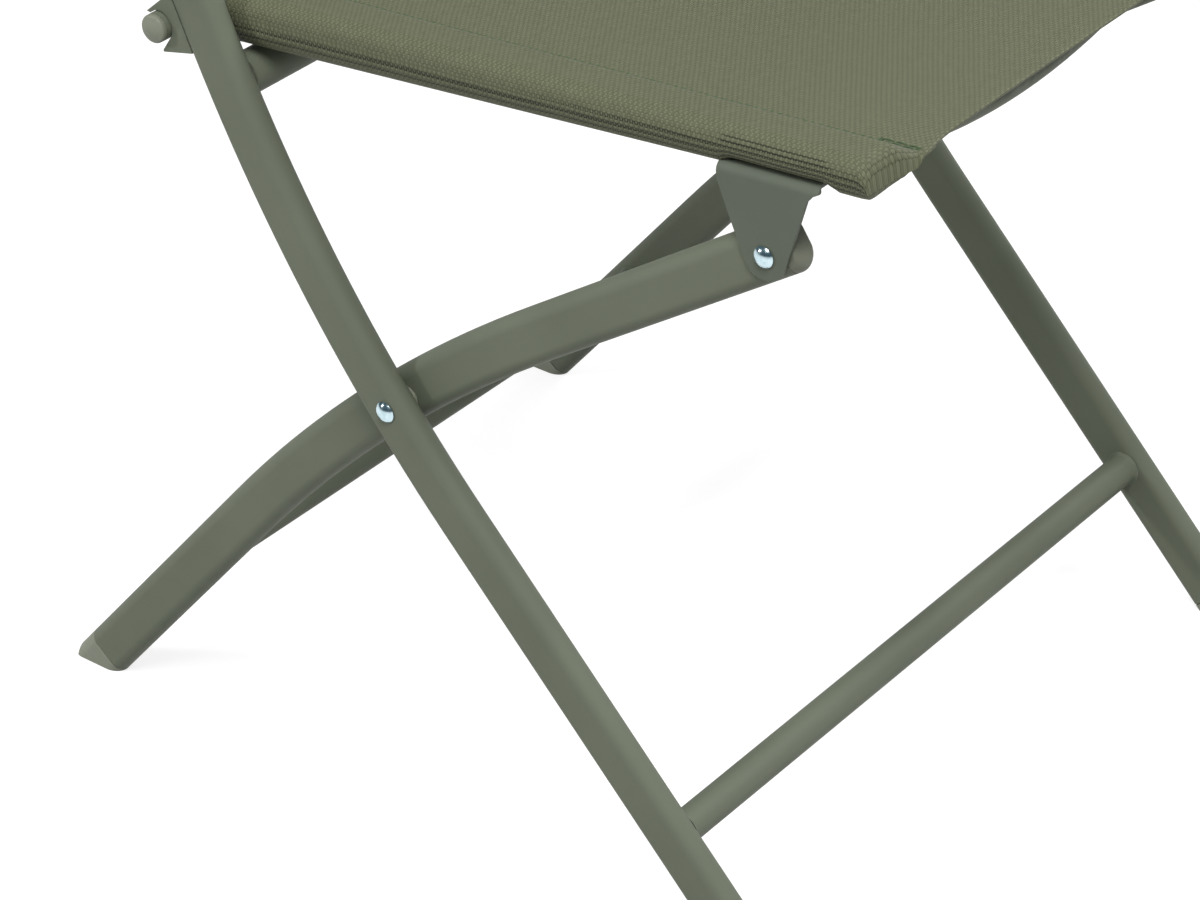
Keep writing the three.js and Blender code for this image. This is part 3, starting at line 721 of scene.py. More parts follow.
def tube_piece(name, stations, size_p, size_q, body, replaced, count):
    """Walled tube with eased ends. A station is (origin, tangent, p axis, q axis)."""
    full = oval(size_p, size_q, count)
    eased = oval(size_p - 2 * EDGE, size_q - 2 * EDGE, count)
    bore = oval(size_p - 2 * WALL, size_q - 2 * WALL, count)
    first, last = stations[0], stations[-1]
    rings = [ring_at(first[0], *first[2:], eased), ring_at(first[0] + first[1] * EDGE, *first[2:], full)]
    rings += [ring_at(origin, *axes, full) for origin, _, *axes in stations[1:-1]]
    rings += [ring_at(last[0] - last[1] * EDGE, *last[2:], full), ring_at(last[0], *last[2:], eased)]
    rings += [ring_at(origin, *axes, bore) for origin, _, *axes in reversed(stations)]
    return finish_piece(name, mesh_from(name, *loft(rings, "joined")), body, "paint", replaced)


def turned_piece(node, profile, origin, axis, body, slot, count=TURNED_POINTS, ending="turned"):
    """Solid of revolution for a node: (radius, along) pairs that start and end on the axis."""
    across = axis.orthogonal().normalized()
    other = axis.cross(across)
    rings = [circle(origin + axis * along, across, other, radius, count) for radius, along in profile[1:-1]]
    verts, faces = loft(rings, "open")
    first, last = len(verts), len(verts) + 1
    tail = first - count
    verts += [tuple(origin + axis * profile[0][1]), tuple(origin + axis * profile[-1][1])]
    for i in range(count):
        j = (i + 1) % count
        faces += [(first, j, i), (last, tail + i, tail + j)]
    name = f"{node}_{ending}"
    return finish_piece(name, mesh_from(name, verts, faces), body, slot, [node])


def dome(radius, height, points=10):
    """Profile of a ball's cap, from its rim to its crown."""
    ball = (radius ** 2 + height ** 2) / (2 * height)
    slope = math.asin(radius / ball)
    turns = [slope * (1 - i / points) for i in range(points + 1)]
    return [(ball * math.sin(turn), ball * math.cos(turn) - ball + height) for turn in turns]


# Fittings on more than one frame

def welded_tube(node, body, flare):
    """Round cross tube whose ends flare into a smooth weld, or stay plain without a flare."""
    centre, radius, length = round_node(node)
    half = length / 2
    outer = [(half + GAP, radius + flare)]
    if flare:
        outer += [(half - flare * inwards, radius + flare * out) for inwards, out in WELD_CURVE]
    profile = [(-x, r) for x, r in outer]
    profile += [(x, radius) for x in steps(-half + WELD_CLEAR, half - WELD_CLEAR, MID_STEP)]
    profile += reversed(outer)
    profile += [(half + GAP, radius - WALL), (-half - GAP, radius - WALL)]
    rings = [circle(centre + ALONG_X * x, ALONG_Y, ALONG_Z, r, ROUND_POINTS) for x, r in profile]
    return finish_piece(f"{node}_tube", mesh_from(node, *loft(rings, "joined")), body, "paint", [node])


def foot_plug(node, path, x, body):
    """Moulded wedge under a square-cut tube, flat on the floor, with rounded toe and heel."""
    end = path.point(path.foot())
    down = -heading(path.low)
    section = oval(TUBE_THIN, TUBE_WIDE, ROUND_POINTS)
    rings = []
    for depth in (GAP, GAP + FOOT_BLANK):
        rings.append(ring_at(end + ALONG_X * x + down * depth, ALONG_X, left_of(path.low), section))
    mesh = mesh_from(node, *loft(rings))
    forward = 1 if math.cos(path.low) < 0 else -1
    floor_y = end.y - end.z / math.tan(path.low)
    toe_y = floor_y + forward * (TUBE_WIDE / 2 / abs(math.sin(path.low)) - FOOT_TOE)
    shaper = bmesh.new()
    shaper.from_mesh(mesh)
    for at, outward in ((Vector(), -ALONG_Z), (ALONG_Y * toe_y, ALONG_Y * forward)):
        everything = [*shaper.verts, *shaper.edges, *shaper.faces]
        bmesh.ops.bisect_plane(shaper, geom=everything, plane_co=at, plane_no=outward, clear_outer=True)
        rim = [edge for edge in shaper.edges if edge.is_boundary]
        bmesh.ops.contextual_create(shaper, geom=rim)
    shaper.to_mesh(mesh)
    shaper.free()
    return finish_piece(f"{node}_plug", mesh, body, "plastic", [node], finish="foot", ease=FOOT_EASE)


def cross_rivet(node, sign, body):
    """Rivet along X: domed outer head on a short rim, shank, and a flat set tail."""
    centre, radius, length = round_node(node)
    radius += HEAD_EXTRA
    base = length - HEAD_HEIGHT
    profile = [(0, 0), *((radius * share, along) for share, along in TAIL)]
    profile += [(radius * SHANK_SHARE, base), (radius * HEAD_UNDER, base), (radius, base + HEAD_EASE)]
    profile += [(r, base + HEAD_RIM + h) for r, h in dome(radius, HEAD_CROWN)]
    axis = ALONG_X * sign
    return turned_piece(node, profile, centre - axis * length / 2, axis, body, "zinc")


# Back frame

def back_tube():
    """One bent tube from foot to foot, over the top of the back."""
    top = upright.arc + UPRIGHT_ABOVE_BEND + GAP + CORNER_STRAIGHT
    stations = upright.stations(-UPRIGHT_X, top, MID_STEP)
    for first, sign, skipped in ((0, -1, 1), (QUARTER_TURN, 1, 0)):
        centre = upright.point(top) + ALONG_X * sign * (UPRIGHT_X - CORNER_RADIUS)
        for turn in steps(first, first + QUARTER_TURN, CORNER_TURN)[skipped:]:
            tangent = BACK_UP * math.cos(turn) + ALONG_X * math.sin(turn)
            thin = ALONG_X * math.cos(turn) - BACK_UP * math.sin(turn)
            stations.append((centre - thin * CORNER_RADIUS, tangent, thin, BACK_FRONT))
    for origin, tangent, thin, wide in reversed(upright.stations(UPRIGHT_X, top, MID_STEP)[:-1]):
        stations.append((origin, -tangent, -thin, wide))
    replaced = ["top_rail"]
    for name, _ in SIDES:
        replaced += [f"upright_{name}", f"corner_bend_{name}"]
    return tube_piece("back_tube", stations, TUBE_THIN, TUBE_WIDE, "back_frame", replaced, TUBE_POINTS)


def hook_plate(name, sign):
    """Notched plate behind an upright, cut to the tube's round rear edge and eased all round."""
    notch = BAR_R + REST_GAP
    ramp_turn = -QUARTER_TURN - HOOK_RAMP
    ramp_start = (notch * math.cos(ramp_turn), notch * math.sin(ramp_turn))
    ramp_end = ramp_start[1] - (HOOK_LIP - ramp_start[0]) * math.tan(HOOK_RAMP)
    reach = math.sqrt((TUBE_THIN / 2) ** 2 - HOOK_OFFSET ** 2)
    tube_face = -(notch + HOOK_WEB) - TUBE_THIN / 2 + reach

    def at_tube(inside, outside):
        share = (tube_face - inside[0]) / (outside[0] - inside[0])
        return tube_face, inside[1] + (outside[1] - inside[1]) * share

    outline = [at_tube(*HOOK_LOW), HOOK_LOW[1], (HOOK_LIP, ramp_end)]
    for turn in steps(ramp_turn + FULL_TURN, HOOK_UPPER, FINE_TURN):
        outline.append((notch * math.cos(turn), notch * math.sin(turn)))
    outline += [HOOK_TOP[0], at_tube(HOOK_TOP[1], HOOK_TOP[0])]
    rings = []
    for side in (-1, 1):
        x = sign * (UPRIGHT_X + HOOK_OFFSET) + side * HOOK_THICK / 2
        rings.append(ring_at(Vector((x, BAR.y, BAR.z)), -BACK_FRONT, BACK_UP, outline))
    mesh = mesh_from("hook", *loft(rings))
    replaced = [f"hook_plate_{name}"]
    return finish_piece(f"hook_{name}", mesh, "back_frame", "paint", replaced, ease=HOOK_EASE)


def washer(node, sign):
    centre, radius, width = round_node(node)
    inner, far = radius - WASHER_EASE, width - WASHER_EASE
    profile = [(0, 0), (inner, 0), (radius, WASHER_EASE), (radius, far), (inner, width), (0, width)]
    axis = ALONG_X * sign
    return turned_piece(node, profile, centre - axis * width / 2, axis, "back_frame", "plastic")


# Rear-leg frame

def rear_leg(node, sign):
    stations = leg.stations(sign * LEG_X, LEG_TOP, SHORT_STEP)
    return tube_piece(f"{node}_tube", stations, TUBE_THIN, TUBE_WIDE, "leg_frame", [node], TUBE_POINTS)


def leg_plug(node, sign):
    """Rounded end plug in a rear leg's upper end."""
    end = leg.point(LEG_TOP) + ALONG_X * sign * LEG_X
    out = heading(LEG_HIGH)
    shape = [(0.0, TUBE_WIDE / 2)]
    for turn in steps(0, QUARTER_TURN, FINE_TURN):
        lift = PLUG_LENGTH - PLUG_CORNER + PLUG_CORNER * math.sin(turn)
        shape.append((lift, TUBE_WIDE / 2 - PLUG_CORNER * (1 - math.cos(turn))))
    rings = []
    for lift, wide in shape:
        past = max(0.0, lift - PLUG_LENGTH + PLUG_SOFT)
        thin = TUBE_THIN / 2 - PLUG_SOFT + math.sqrt(max(PLUG_SOFT ** 2 - past ** 2, 0.0))
        origin = end + out * (GAP + lift * (1 - GAP / PLUG_LENGTH))
        rings.append(ring_at(origin, ALONG_X, left_of(LEG_HIGH), oval(2 * thin, 2 * wide, TUBE_POINTS)))
    return finish_piece(
        f"{node}_cap", mesh_from(node, *loft(rings)), "leg_frame", "plastic", [node],
        finish="plug", sharp=50,
    )


# Seat frame

def seat_rail(node, sign):
    """Flat-oval rail, open for its front plug, with its closed rear end coped to the rear bar."""
    bar_along, bar_rise = seat_place(BAR)
    cope_r = BAR_R + GAP
    full = oval(TUBE_WIDE, TUBE_THIN, RAIL_POINTS)
    bore = oval(TUBE_WIDE - 2 * WALL, TUBE_THIN - 2 * WALL, RAIL_POINTS)

    def ring(along, section):
        return [seat_point(sign * RAIL_X + p, along, q) for p, q in section]

    def coped(rise):
        drop = min(abs(rise - bar_rise), cope_r)
        return bar_along - math.sqrt(max(cope_r ** 2 - drop ** 2, 0.0))

    rings = [ring(along, bore) for along in (RAIL_FRONT + RAIL_BORE, RAIL_FRONT)]
    rings += [ring(along, full) for along in steps(RAIL_FRONT, bar_along - RAIL_COPE, LONG_STEP)]
    rings.append([seat_point(sign * RAIL_X + p, coped(q), q) for p, q in full])
    return finish_piece(f"{node}_tube", mesh_from(node, *loft(rings)), "seat_frame", "paint", [node])


def seat_bracket(name, sign):
    """Folded plate: flange under the rail, rolled edge, and a leaf that tapers to the hinge rivet."""
    outer = LEG_X + TUBE_THIN / 2 + GAP + PLATE
    bend_x, bend_rise = outer - BRACKET_BEND, FLANGE_TOP - BRACKET_BEND
    shoulder = FLANGE_TOP - BRACKET_SHOULDER + BRACKET_BEND
    rise = shoulder - HINGE_RISE
    lean = math.atan2(rise, BRACKET_HALF) - math.acos(BRACKET_TIP_R / math.hypot(BRACKET_HALF, rise))
    touch_rise = HINGE_RISE + BRACKET_TIP_R * math.sin(lean)
    touch_half = BRACKET_TIP_R * math.cos(lean)

    def half_width(level):
        if level >= shoulder:
            return BRACKET_HALF
        if level >= touch_rise:
            share = (level - touch_rise) / (shoulder - touch_rise)
            return touch_half + (BRACKET_HALF - touch_half) * share
        return math.sqrt(max(BRACKET_TIP_R ** 2 - (level - HINGE_RISE) ** 2, 0.0))

    def tongue(level):
        drop = (FLANGE_TOP - TONGUE_AT - level) / TONGUE_HALF
        return BRACKET_TONGUE * math.sqrt(max(1 - drop ** 2, 0.0))

    rows = [(x, FLANGE_TOP, 0.0, 1.0) for x in steps(FLANGE_INNER_X, bend_x, FLANGE_STEP)]
    for turn in steps(QUARTER_TURN, 0, BEND_TURN)[1:]:
        out, up = math.cos(turn), math.sin(turn)
        rows.append((bend_x + BRACKET_BEND * out, bend_rise + BRACKET_BEND * up, out, up))
    levels = steps(bend_rise, shoulder, LEAF_STEPS[0])[1:] + steps(shoulder, touch_rise, LEAF_STEPS[1])[1:]
    low_turn = math.asin((touch_rise - HINGE_RISE) / BRACKET_TIP_R)
    for turn in steps(low_turn, -QUARTER_TURN + BRACKET_TIP_FLAT, TIP_TURN)[1:]:
        levels.append(HINGE_RISE + BRACKET_TIP_R * math.sin(turn))
    rows += [(outer, level, 1.0, 0.0) for level in levels]
    columns = [2 * i / BRACKET_COLUMNS - 1 for i in range(BRACKET_COLUMNS + 1)]
    verts = []
    for depth in (0.0, PLATE):
        for x, level, out, up in rows:
            for column in columns:
                along = HINGE_ALONG + half_width(level) * column - tongue(level) * max(0.0, -column) ** 3
                verts.append(tuple(seat_point(sign * (x - out * depth), along, level - up * depth)))
    mesh = mesh_from("bracket", verts, sheet_faces(len(rows), len(columns)))
    # The bracket takes the darker powder coat, painted shade of the seat sleeve above it
    return finish_piece(
        f"bracket_{name}", mesh, "seat_frame", "paint", [f"seat_bracket_{name}"],
        finish="plate", ease=BRACKET_EASE,
    )


def front_crossbar():
    """Bowed bar between the inner edges of the brackets' flanges."""
    lean = math.atan(2 * CROSSBAR_DROP / FLANGE_INNER_X)
    half = FLANGE_INNER_X - GAP / math.cos(lean) - (PLATE - GAP) * math.tan(lean)
    stations = []
    for x in steps(-half, half, BEND_STEP):
        slope = 2 * CROSSBAR_DROP * x / half ** 2
        point = seat_point(x, HINGE_ALONG, FLANGE_TOP - GAP - CROSSBAR_DROP * (1 - (x / half) ** 2))
        tangent = (ALONG_X + SEAT_UP * slope).normalized()
        stations.append((point, tangent, SEAT_BACK, tangent.cross(SEAT_BACK)))
    size = 2 * CROSSBAR_R
    replaced = ["front_crossbar"]
    return tube_piece("front_crossbar_tube", stations, size, size, "seat_frame", replaced, CROSSBAR_POINTS)


def bar_cap(node, sign):
    """Domed end cap with a soft rim on the rear bar."""
    centre, radius, length = round_node(node)
    face = BAR.x + sign * BAR_LONG / 2
    reach = sign * (centre.x - face) + length / 2
    stem = radius - WALL - GAP
    profile = [(0, -CAP_INSIDE), (stem, -CAP_INSIDE), (stem, GAP), (radius - CAP_EASE, GAP)]
    profile += [(radius, GAP + CAP_EASE), (radius, CAP_RIM)]
    inner = radius - CAP_ROUND
    for turn in steps(0, QUARTER_TURN, CAP_TURN)[1:]:
        profile.append((inner + CAP_ROUND * math.cos(turn), CAP_RIM + CAP_ROUND * math.sin(turn)))
    crown = CAP_RIM + CAP_ROUND
    profile += [(inner * share, crown + (reach - crown) * (1 - share ** 2)) for share in CAP_CROWN]
    start = Vector((face, centre.y, centre.z))
    return turned_piece(node, profile, start, ALONG_X * sign, "seat_frame", "plastic", ending="dome")


def small_rivet(node, point, axis):
    """Low round head on the end of a short shank, head outward along the axis."""
    profile = [(0, -SMALL_SHANK), (SMALL_SHANK_R, -SMALL_SHANK), (SMALL_SHANK_R, 0)]
    profile += [(SMALL_HEAD_R, 0), (SMALL_HEAD_R, SMALL_RIM)]
    profile += [(r, SMALL_RIM + h) for r, h in dome(SMALL_HEAD_R, SMALL_HEAD - SMALL_RIM, 6)[1:]]
    return turned_piece(node, profile, point, axis, "seat_frame", "paint", SMALL_POINTS)


# Slings

def lengths_along(points):
    lengths = [0.0]
    for a, b in zip(points, points[1:]):
        lengths.append(lengths[-1] + math.dist(a, b))
    return lengths


def spread(path, step):
    """Evenly spaced points along a line of points."""
    lengths = lengths_along(path)
    points = []
    index = 0
    for target in steps(0, lengths[-1], step):
        while index < len(path) - 2 and lengths[index + 1] < target:
            index += 1
        run = max(lengths[index + 1] - lengths[index], 1e-9)
        share = clamp((target - lengths[index]) / run)
        a, b = path[index], path[index + 1]
        points.append((a[0] + (b[0] - a[0]) * share, a[1] + (b[1] - a[1]) * share))
    return points


def rib(at, pitch):
    """Rounded ribs from 0 to 1."""
    return 0.5 - 0.5 * math.cos(FULL_TURN * at / pitch)


class Sling:
    """Cloth stretched between two tubes by a sleeve along each side. A loose sleeve hangs a little.

    The line across one half goes from the hem round the tube, back to the seam and over half the panel.
    """

    def __init__(self, body, place, outward, ends, tube, face, sag, seam_in, loose):
        self.body, self.place, self.outward = body, place, outward
        self.start, self.end = ends
        self.centre_x, tube_x, tube_q = tube
        self.sag, self.loose = sag, loose
        middle = GAP + CLOTH / 2
        wide = tube_x + 2 * middle
        deep = tube_q + 2 * middle
        self.deep = deep / 2
        self.seam_x = self.centre_x - wide / 2 - seam_in
        self.level = face - CLOTH / 2
        upper = (self.seam_x, self.level)
        under = (self.seam_x, self.level - CLOTH * LAYER)
        loop = [(self.centre_x + p, q) for p, q in oval(wide, deep, SLEEVE_POINTS)]
        turns_upper = [math.atan2(q - upper[1], x - upper[0]) for x, q in loop]
        turns_under = [math.atan2(q - under[1], x - under[0]) for x, q in loop]
        last = turns_upper.index(max(turns_upper))
        index = turns_under.index(min(turns_under))
        hem_x = self.seam_x - HEM_UNDER
        path = [(hem_x, self.panel(hem_x) - CLOTH * LAYER), under]
        while index != last:
            path.append(loop[index])
            index = (index + 1) % len(loop)
        path += [loop[last], upper]
        panel = [(x, self.panel(x)) for x in steps(self.seam_x, 0.0, PANEL_STEP)[1:]]
        self.half = spread(path, SLEEVE_STEP) + panel

    def panel(self, x):
        return self.level - self.sag * (1 - (x / self.seam_x) ** 2)

    @staticmethod
    def hang(along):
        """How far a loose sleeve's outer side hangs, ahead of the bracket's flange and behind it."""
        ahead = clamp((FLANGE_SPAN[0] - along) / FLANGE_EASE)
        past = along - FLANGE_SPAN[1]
        return SLEEVE_HANG[0] * ahead + (SLEEVE_HANG[0] + SLEEVE_HANG[1] * past) * clamp(past / FLANGE_EASE)

    def droop(self, x, q, along):
        """Rise of a loose sleeve's cloth."""
        side = clamp((abs(x) - self.centre_x + HANG_FROM) / HANG_WIDE)
        return q + self.hang(along) * side * side * (3 - 2 * side) * min(q, 0.0) / self.deep

    def ribbed(self, rise, along):
        """Share of the ribbed selvedge, which is the lowest part of a loose sleeve's outer side."""
        return clamp((SELVEDGE - rise - self.deep - self.hang(along)) / RIB_EASE)

    def pinch(self, x, q, from_start, thick):
        """Rise of a sleeve's cloth where the sleeve is drawn together at its front end."""
        into = (abs(x) - self.seam_x) / SLEEVE_SPAN
        if into <= 0 or from_start >= SLEEVE_END:
            return q
        at_seam = self.level - CLOTH * LAYER / 2
        level = at_seam + (SLEEVE_END_RISE - at_seam) * min(into, 1.0)
        squeeze = math.sqrt(1 - (1 - from_start / SLEEVE_END) ** 2)
        least = LAYER * thick / max(abs(q - level), 1e-6)
        return level + (q - level) * clamp(max(squeeze, least))

    def front_bump(self, x, from_start):
        """How far the thick end of a seam pushes the front edge out."""
        beside = math.exp(-(((abs(x) - self.seam_x) / END_BUMP_WIDE) ** 2))
        return END_BUMP * beside * max(0.0, 1 - from_start / END_BUMP_LONG)

    def rows(self):
        inner = steps(self.start + ROWS_FROM, self.end - ROWS_FROM, ROW_STEP)
        ahead = [self.start + at for at in END_ROWS]
        return ahead + inner + [self.end - at for at in reversed(END_ROWS)]

    def columns(self):
        """Points across the whole cloth: (x, q, outward x, outward q, u, rib weight, panel weight)."""
        whole = self.half + [(-x, q) for x, q in reversed(self.half[:-1])]
        lengths = lengths_along(whole)
        columns = []
        for i, (x, q) in enumerate(whole):
            before = whole[max(i - 1, 0)]
            after = whole[min(i + 1, len(whole) - 1)]
            run_x, run_q = after[0] - before[0], after[1] - before[1]
            run = math.hypot(run_x, run_q)
            edge = clamp((abs(x) - self.centre_x - RIB_FROM) / RIB_EASE)
            panel = 1.0 if abs(x) < self.seam_x else 0.0
            columns.append((x, q, run_q / run, -run_x / run, lengths[i] - lengths[-1] / 2, edge, panel))
        return columns, lengths[-1]


def sling_cloth(name, node, sling, seed):
    """Cloth of a sling, with ribbed edges, puckered seams and turned hems, and its flat size."""
    columns, width = sling.columns()
    rows = sling.rows()
    length = sling.end - sling.start
    draw = random.Random(seed)
    phases = [draw.uniform(0, FULL_TURN) for _ in range(4)]
    verts, uvs, edges = [], [], []
    for side in (1, -1):
        for along in rows:
            from_start = along - sling.start
            from_end = min(from_start, sling.end - along)
            thin = math.sqrt(max(1 - (1 - min(from_end / END_ROUND, 1.0)) ** 2, 0.0))
            thick = CLOTH / 2 * (END_THIN + (1 - END_THIN) * thin)
            hem = HEM_THICK * clamp((HEM_DEEP - from_end) / HEM_EASE)
            band = clamp((END_BAND - from_start) / END_BAND_EASE) if sling.loose else 0.0
            roll = rib(from_start, END_RIDGE)
            drift = PUCKER_DRIFT[0] * math.sin(along / PUCKER_DRIFT[1] + phases[1])
            pucker = PUCKER * math.sin(along / PUCKER_WAVE + phases[0] + drift) - SEAM_SINK
            waves = zip(SLACK, phases[2:])
            slack = sum(size * math.sin(along / wave + phase) for (size, wave), phase in waves)
            for x, q, normal_x, normal_q, u, edge, panel in columns:
                at, rise = along, q
                if sling.loose:
                    drooped = sling.droop(x, q, along)
                    edge *= sling.ribbed(drooped, along)
                    rise = sling.pinch(x, drooped, from_start, thick)
                    at -= sling.front_bump(x, from_start)
                hemmed = band * (1 - panel)
                ridge = RIDGE_DEPTH * max(edge * rib(u, RIDGE_PITCH), hemmed * roll)
                near = math.exp(-(((abs(x) - sling.seam_x) / SEAM_WIDE) ** 2)) if q > SEAM_FLOOR else 0.0
                lift = ridge + near * pucker + slack * edge
                reach = lift + thick if side > 0 else lift * INNER_SHARE - thick - panel * hem * thin
                at += panel * END_PULL * (1 - (x / sling.seam_x) ** 2) * (1 - 2 * from_start / length)
                verts.append(tuple(sling.place(x + normal_x * reach, at, rise + normal_q * reach)))
                uvs.append((u, along))
                edges.append(max(edge, END_OPEN * hemmed))
    mesh = mesh_from(name, verts, sheet_faces(len(rows), len(columns)))
    uv_map = mesh.uv_layers.new(name="cloth")
    for loop in mesh.loops:
        uv_map.data[loop.index].uv = uvs[loop.vertex_index]
    weights = mesh.attributes.new("edge", "FLOAT", "POINT")
    weights.data.foreach_set("value", edges)
    return finish_piece(name, mesh, sling.body, "cloth", [node], sharp=60), (width, length)


def stitch_row(sling, x, level, start, end, stitch, space):
    """Stitches in a row, as (start, end) pairs."""
    runs = []
    at = start
    while at + stitch < end:
        runs.append((sling.place(x, at, level), sling.place(x, at + stitch, level)))
        at += stitch + space
    return runs


def bar_tack(sling, x, level, start):
    """Three staggered rows of long stitches over the end of a seam, crossed at each end."""
    end = start + TACK_LONG
    runs = []
    for row in (-1, 0, 1):
        first = start + TACK_STAGGER * (1 - row)
        runs += stitch_row(sling, x + row * TACK_PITCH, level, first, end, *TACK_STITCH)
    for at in (start, start + TACK_CROSS, end - TACK_CROSS, end):
        runs.append((sling.place(x - TACK_HALF, at, level), sling.place(x + TACK_HALF, at, level)))
    return runs


def sling_threads(name, sling):
    """Seams and bar tacks: each stitch stands proud in the middle and dips at its ends."""
    first = sling.start - (SEAM_OUT if sling.loose else 0.0)
    face = sling.level + CLOTH / 2
    runs = []
    for _, sign in SIDES:
        x = sign * sling.seam_x
        runs += stitch_row(sling, x, face - SEAM_SUNK, first + SEAM_END, sling.end - SEAM_END, *SEAM_STITCH)
        for tack in (first + TACK_END, sling.end - TACK_END - TACK_LONG):
            runs += bar_tack(sling, x, face, tack)
    verts, faces = [], []
    for start, end in runs:
        across = (end - start).normalized().cross(sling.outward).normalized()
        rings = []
        for share in steps(0, 1, 1 / (THREAD_STATIONS - 1)):
            proud = math.sin(math.pi * share)
            lift = THREAD_R * (THREAD_RISE * proud - THREAD_DIP)
            radius = THREAD_R * (THREAD_END + (1 - THREAD_END) * proud)
            centre = start.lerp(end, share) + sling.outward * lift
            rings.append(circle(centre, across, sling.outward, radius, THREAD_POINTS))
        base = len(verts)
        stitch_verts, stitch_faces = loft(rings)
        verts += stitch_verts
        faces += [tuple(base + corner for corner in corners) for corners in stitch_faces]
    mesh = mesh_from(name, verts, faces)
    return finish_piece(name, mesh, sling.body, "cloth", [], finish="thread", sharp=80)


def build_sling(name, sling, seed):
    cloth, flat = sling_cloth(f"{name}_mesh", f"{name}_sling", sling, seed)
    thread = sling_threads(f"{name}_stitching", sling)


# Build

back_tube()
welded_tube("front_stretcher", "back_frame", WELD_FLARE)
welded_tube("upper_stretcher", "back_frame", SMALL_WELD_FLARE)
for name, sign in SIDES:
    hook_plate(name, sign)
    foot_plug(f"front_foot_{name}", upright, sign * UPRIGHT_X, "back_frame")
    cross_rivet(f"pivot_rivet_{name}", sign, "back_frame")
    washer(f"pivot_washer_{name}", sign)

welded_tube("rear_stretcher", "leg_frame", WELD_FLARE)
for name, sign in SIDES:
    rear_leg(f"rear_leg_{name}", sign)
    leg_plug(f"leg_plug_{name}", sign)
    foot_plug(f"rear_foot_{name}", leg, sign * LEG_X, "leg_frame")
    cross_rivet(f"hinge_rivet_{name}", sign, "leg_frame")

welded_tube("rear_bar", "seat_frame", 0.0)
front_crossbar()
for name, sign in SIDES:
    seat_rail(f"seat_rail_{name}", sign)
    seat_bracket(name, sign)
    bar_cap(f"bar_cap_{name}", sign)
    for index, end in ((1, -1), (2, 1)):
        under = seat_point(sign * RAIL_X, end * BRACKET_RIVET_PITCH / 2, FLANGE_TOP - PLATE - RIVET_SUNK)
        small_rivet(f"bracket_rivet_{name}_{index}", under, -SEAT_UP)
    button = seat_point(sign * RAIL_X, SEAT_ENDS[1] - BUTTON_FROM_END, SLEEVE_THIN / 2 - RIVET_SUNK)
    small_rivet(f"sling_rivet_{name}", button, SEAT_UP)
    rail_plug = frame["nodes"][f"rail_plug_{name}"]
    rail_plug.data.materials.clear()
    rail_plug.data.materials.append(FINISH["plastic"])

seat_rails = (RAIL_X, TUBE_WIDE, TUBE_THIN)
seat_sling = Sling(
    "seat_frame", seat_point, SEAT_UP, SEAT_ENDS, seat_rails, SEAT_FACE, SEAT_SAG, SEAT_SEAM_IN, loose=True,
)
build_sling("seat", seat_sling, 11)

uprights = (UPRIGHT_X, TUBE_THIN, TUBE_WIDE)
back_sling = Sling(
    "back_frame", back_point, BACK_FRONT, BACK_ENDS, uprights, BACK_FACE, BACK_SAG, BACK_SEAM_IN, loose=False,
)
build_sling("back", back_sling, 23)


# Studio

def pale_floor():
    """Pale matt floor that reads as white to the camera and in reflections and keeps a soft shadow."""
    material, nodes, shader = make_material("pale_floor")
    tree = material.node_tree
    tree.nodes.remove(shader)
    rays = nodes.add("ShaderNodeLightPath").outputs
    seen = nodes.math("MAXIMUM", rays["Is Camera Ray"], rays["Is Glossy Ray"])
    seen = nodes.math("MAXIMUM", seen, rays["Is Transmission Ray"])
    matt = nodes.add("ShaderNodeBsdfDiffuse")
    matt.inputs["Color"].default_value = FLOOR_GREY
    glow = nodes.add("ShaderNodeEmission")
    nodes.link(nodes.times(seen, FLOOR_GLOW), glow.inputs["Strength"])
    both = nodes.add("ShaderNodeAddShader")
    nodes.link(matt.outputs[0], both.inputs[0])
    nodes.link(glow.outputs[0], both.inputs[1])
    nodes.link(both.outputs[0], tree.nodes["Material Output"].inputs["Surface"])
    return material


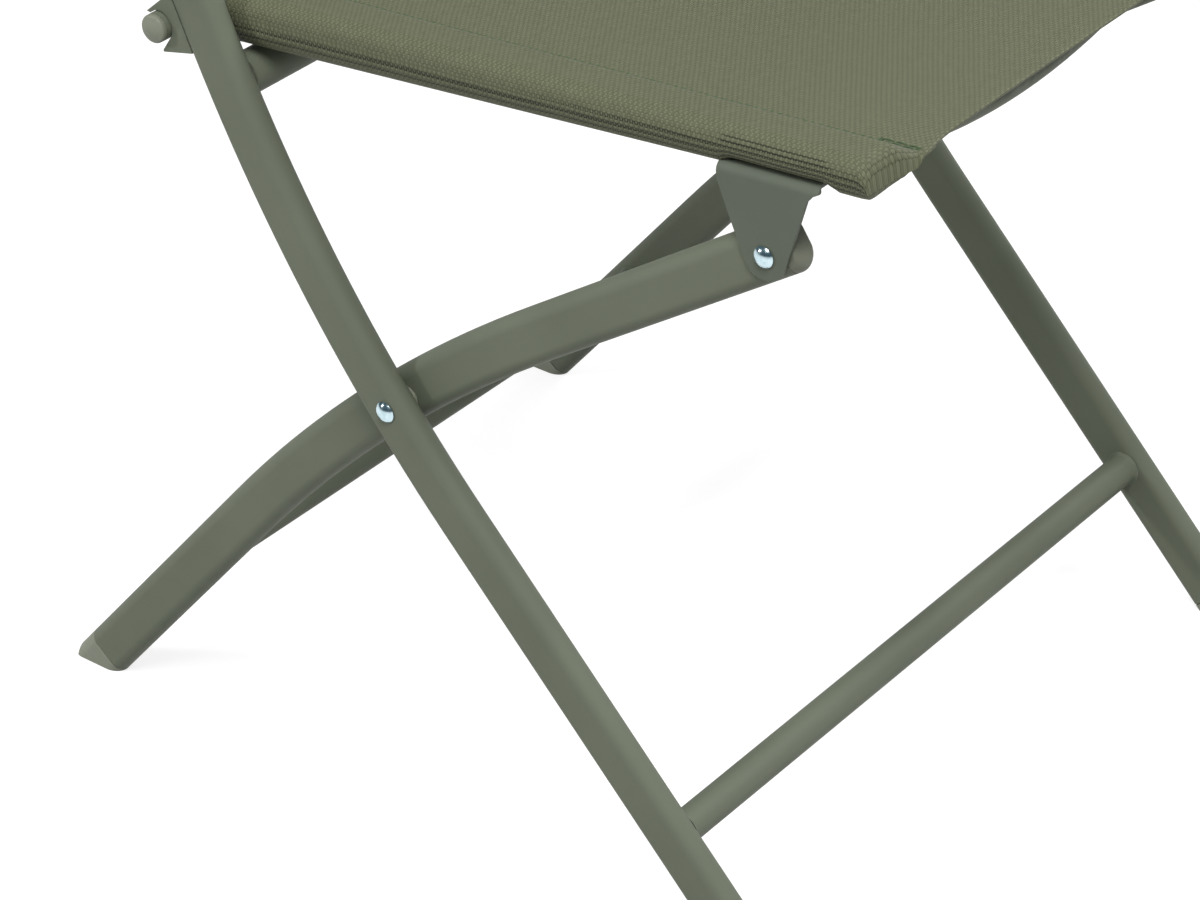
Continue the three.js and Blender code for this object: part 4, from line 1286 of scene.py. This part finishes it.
def studio_floor():
    corners = [(x * FLOOR_HALF, y * FLOOR_HALF, 0) for x, y in ((-1, -1), (1, -1), (1, 1), (-1, 1))]
    floor = new_object("floor", mesh_from("floor", corners, [(0, 1, 2, 3)]))
    floor.data.materials.append(pale_floor())


def studio_world():
    """White surround for the camera, a dimmer one for light, and a dark ceiling in reflections."""
    world = bpy.data.worlds.new("studio")
    bpy.context.scene.world = world
    world.use_nodes = True
    nodes = Nodes(world.node_tree)
    rays = nodes.add("ShaderNodeLightPath").outputs
    direction = nodes.split(nodes.add("ShaderNodeTexCoord").outputs["Generated"])
    ceiling = nodes.ramp(direction[2], 0.02, WHITE, 0.09, CEILING)
    light = nodes.mix(rays["Is Glossy Ray"], WORLD_LIGHT, ceiling)
    shown = nodes.math("MAXIMUM", rays["Is Camera Ray"], rays["Is Transmission Ray"])
    background = world.node_tree.nodes["Background"]
    nodes.link(nodes.mix(shown, light, WHITE), background.inputs["Color"])


def soft_box(name, at, towards, size, power):
    lamp = bpy.data.lights.new(name, "AREA")
    lamp.shape = "RECTANGLE"
    lamp.size = lamp.size_y = size
    lamp.energy = power
    box = new_object(name, lamp)
    box.location = at
    box.rotation_euler = (Vector(towards) - Vector(at)).to_track_quat("-Z", "Y").to_euler()


def studio_camera():
    camera = bpy.data.cameras.new("camera")
    camera.lens = CAMERA_LENS
    camera.sensor_width = SENSOR
    camera.sensor_fit = "HORIZONTAL"
    viewer = new_object("camera", camera)
    viewer.location = (CAMERA_AT[0], PIVOT.y + CAMERA_AT[1], CAMERA_AT[2])
    viewer.rotation_euler = CAMERA_TURN
    bpy.context.scene.camera = viewer


studio_floor()
studio_world()
soft_box("key", at=(-1.5, -0.9, 3.0), towards=(0, 0, 0.3), size=1.2, power=80)
soft_box("front", at=(0.8, -1.9, 2.6), towards=(0, 0, 0.3), size=1.0, power=34)
soft_box("fill", at=(2.6, -0.2, 1.1), towards=(0, 0, 0.35), size=1.2, power=20)
soft_box("sparkle", at=(-2.0, 1.75, 1.6), towards=(0, 0, 0.35), size=0.25, power=24)
studio_camera()
bpy.context.scene.view_settings.view_transform = "Standard"
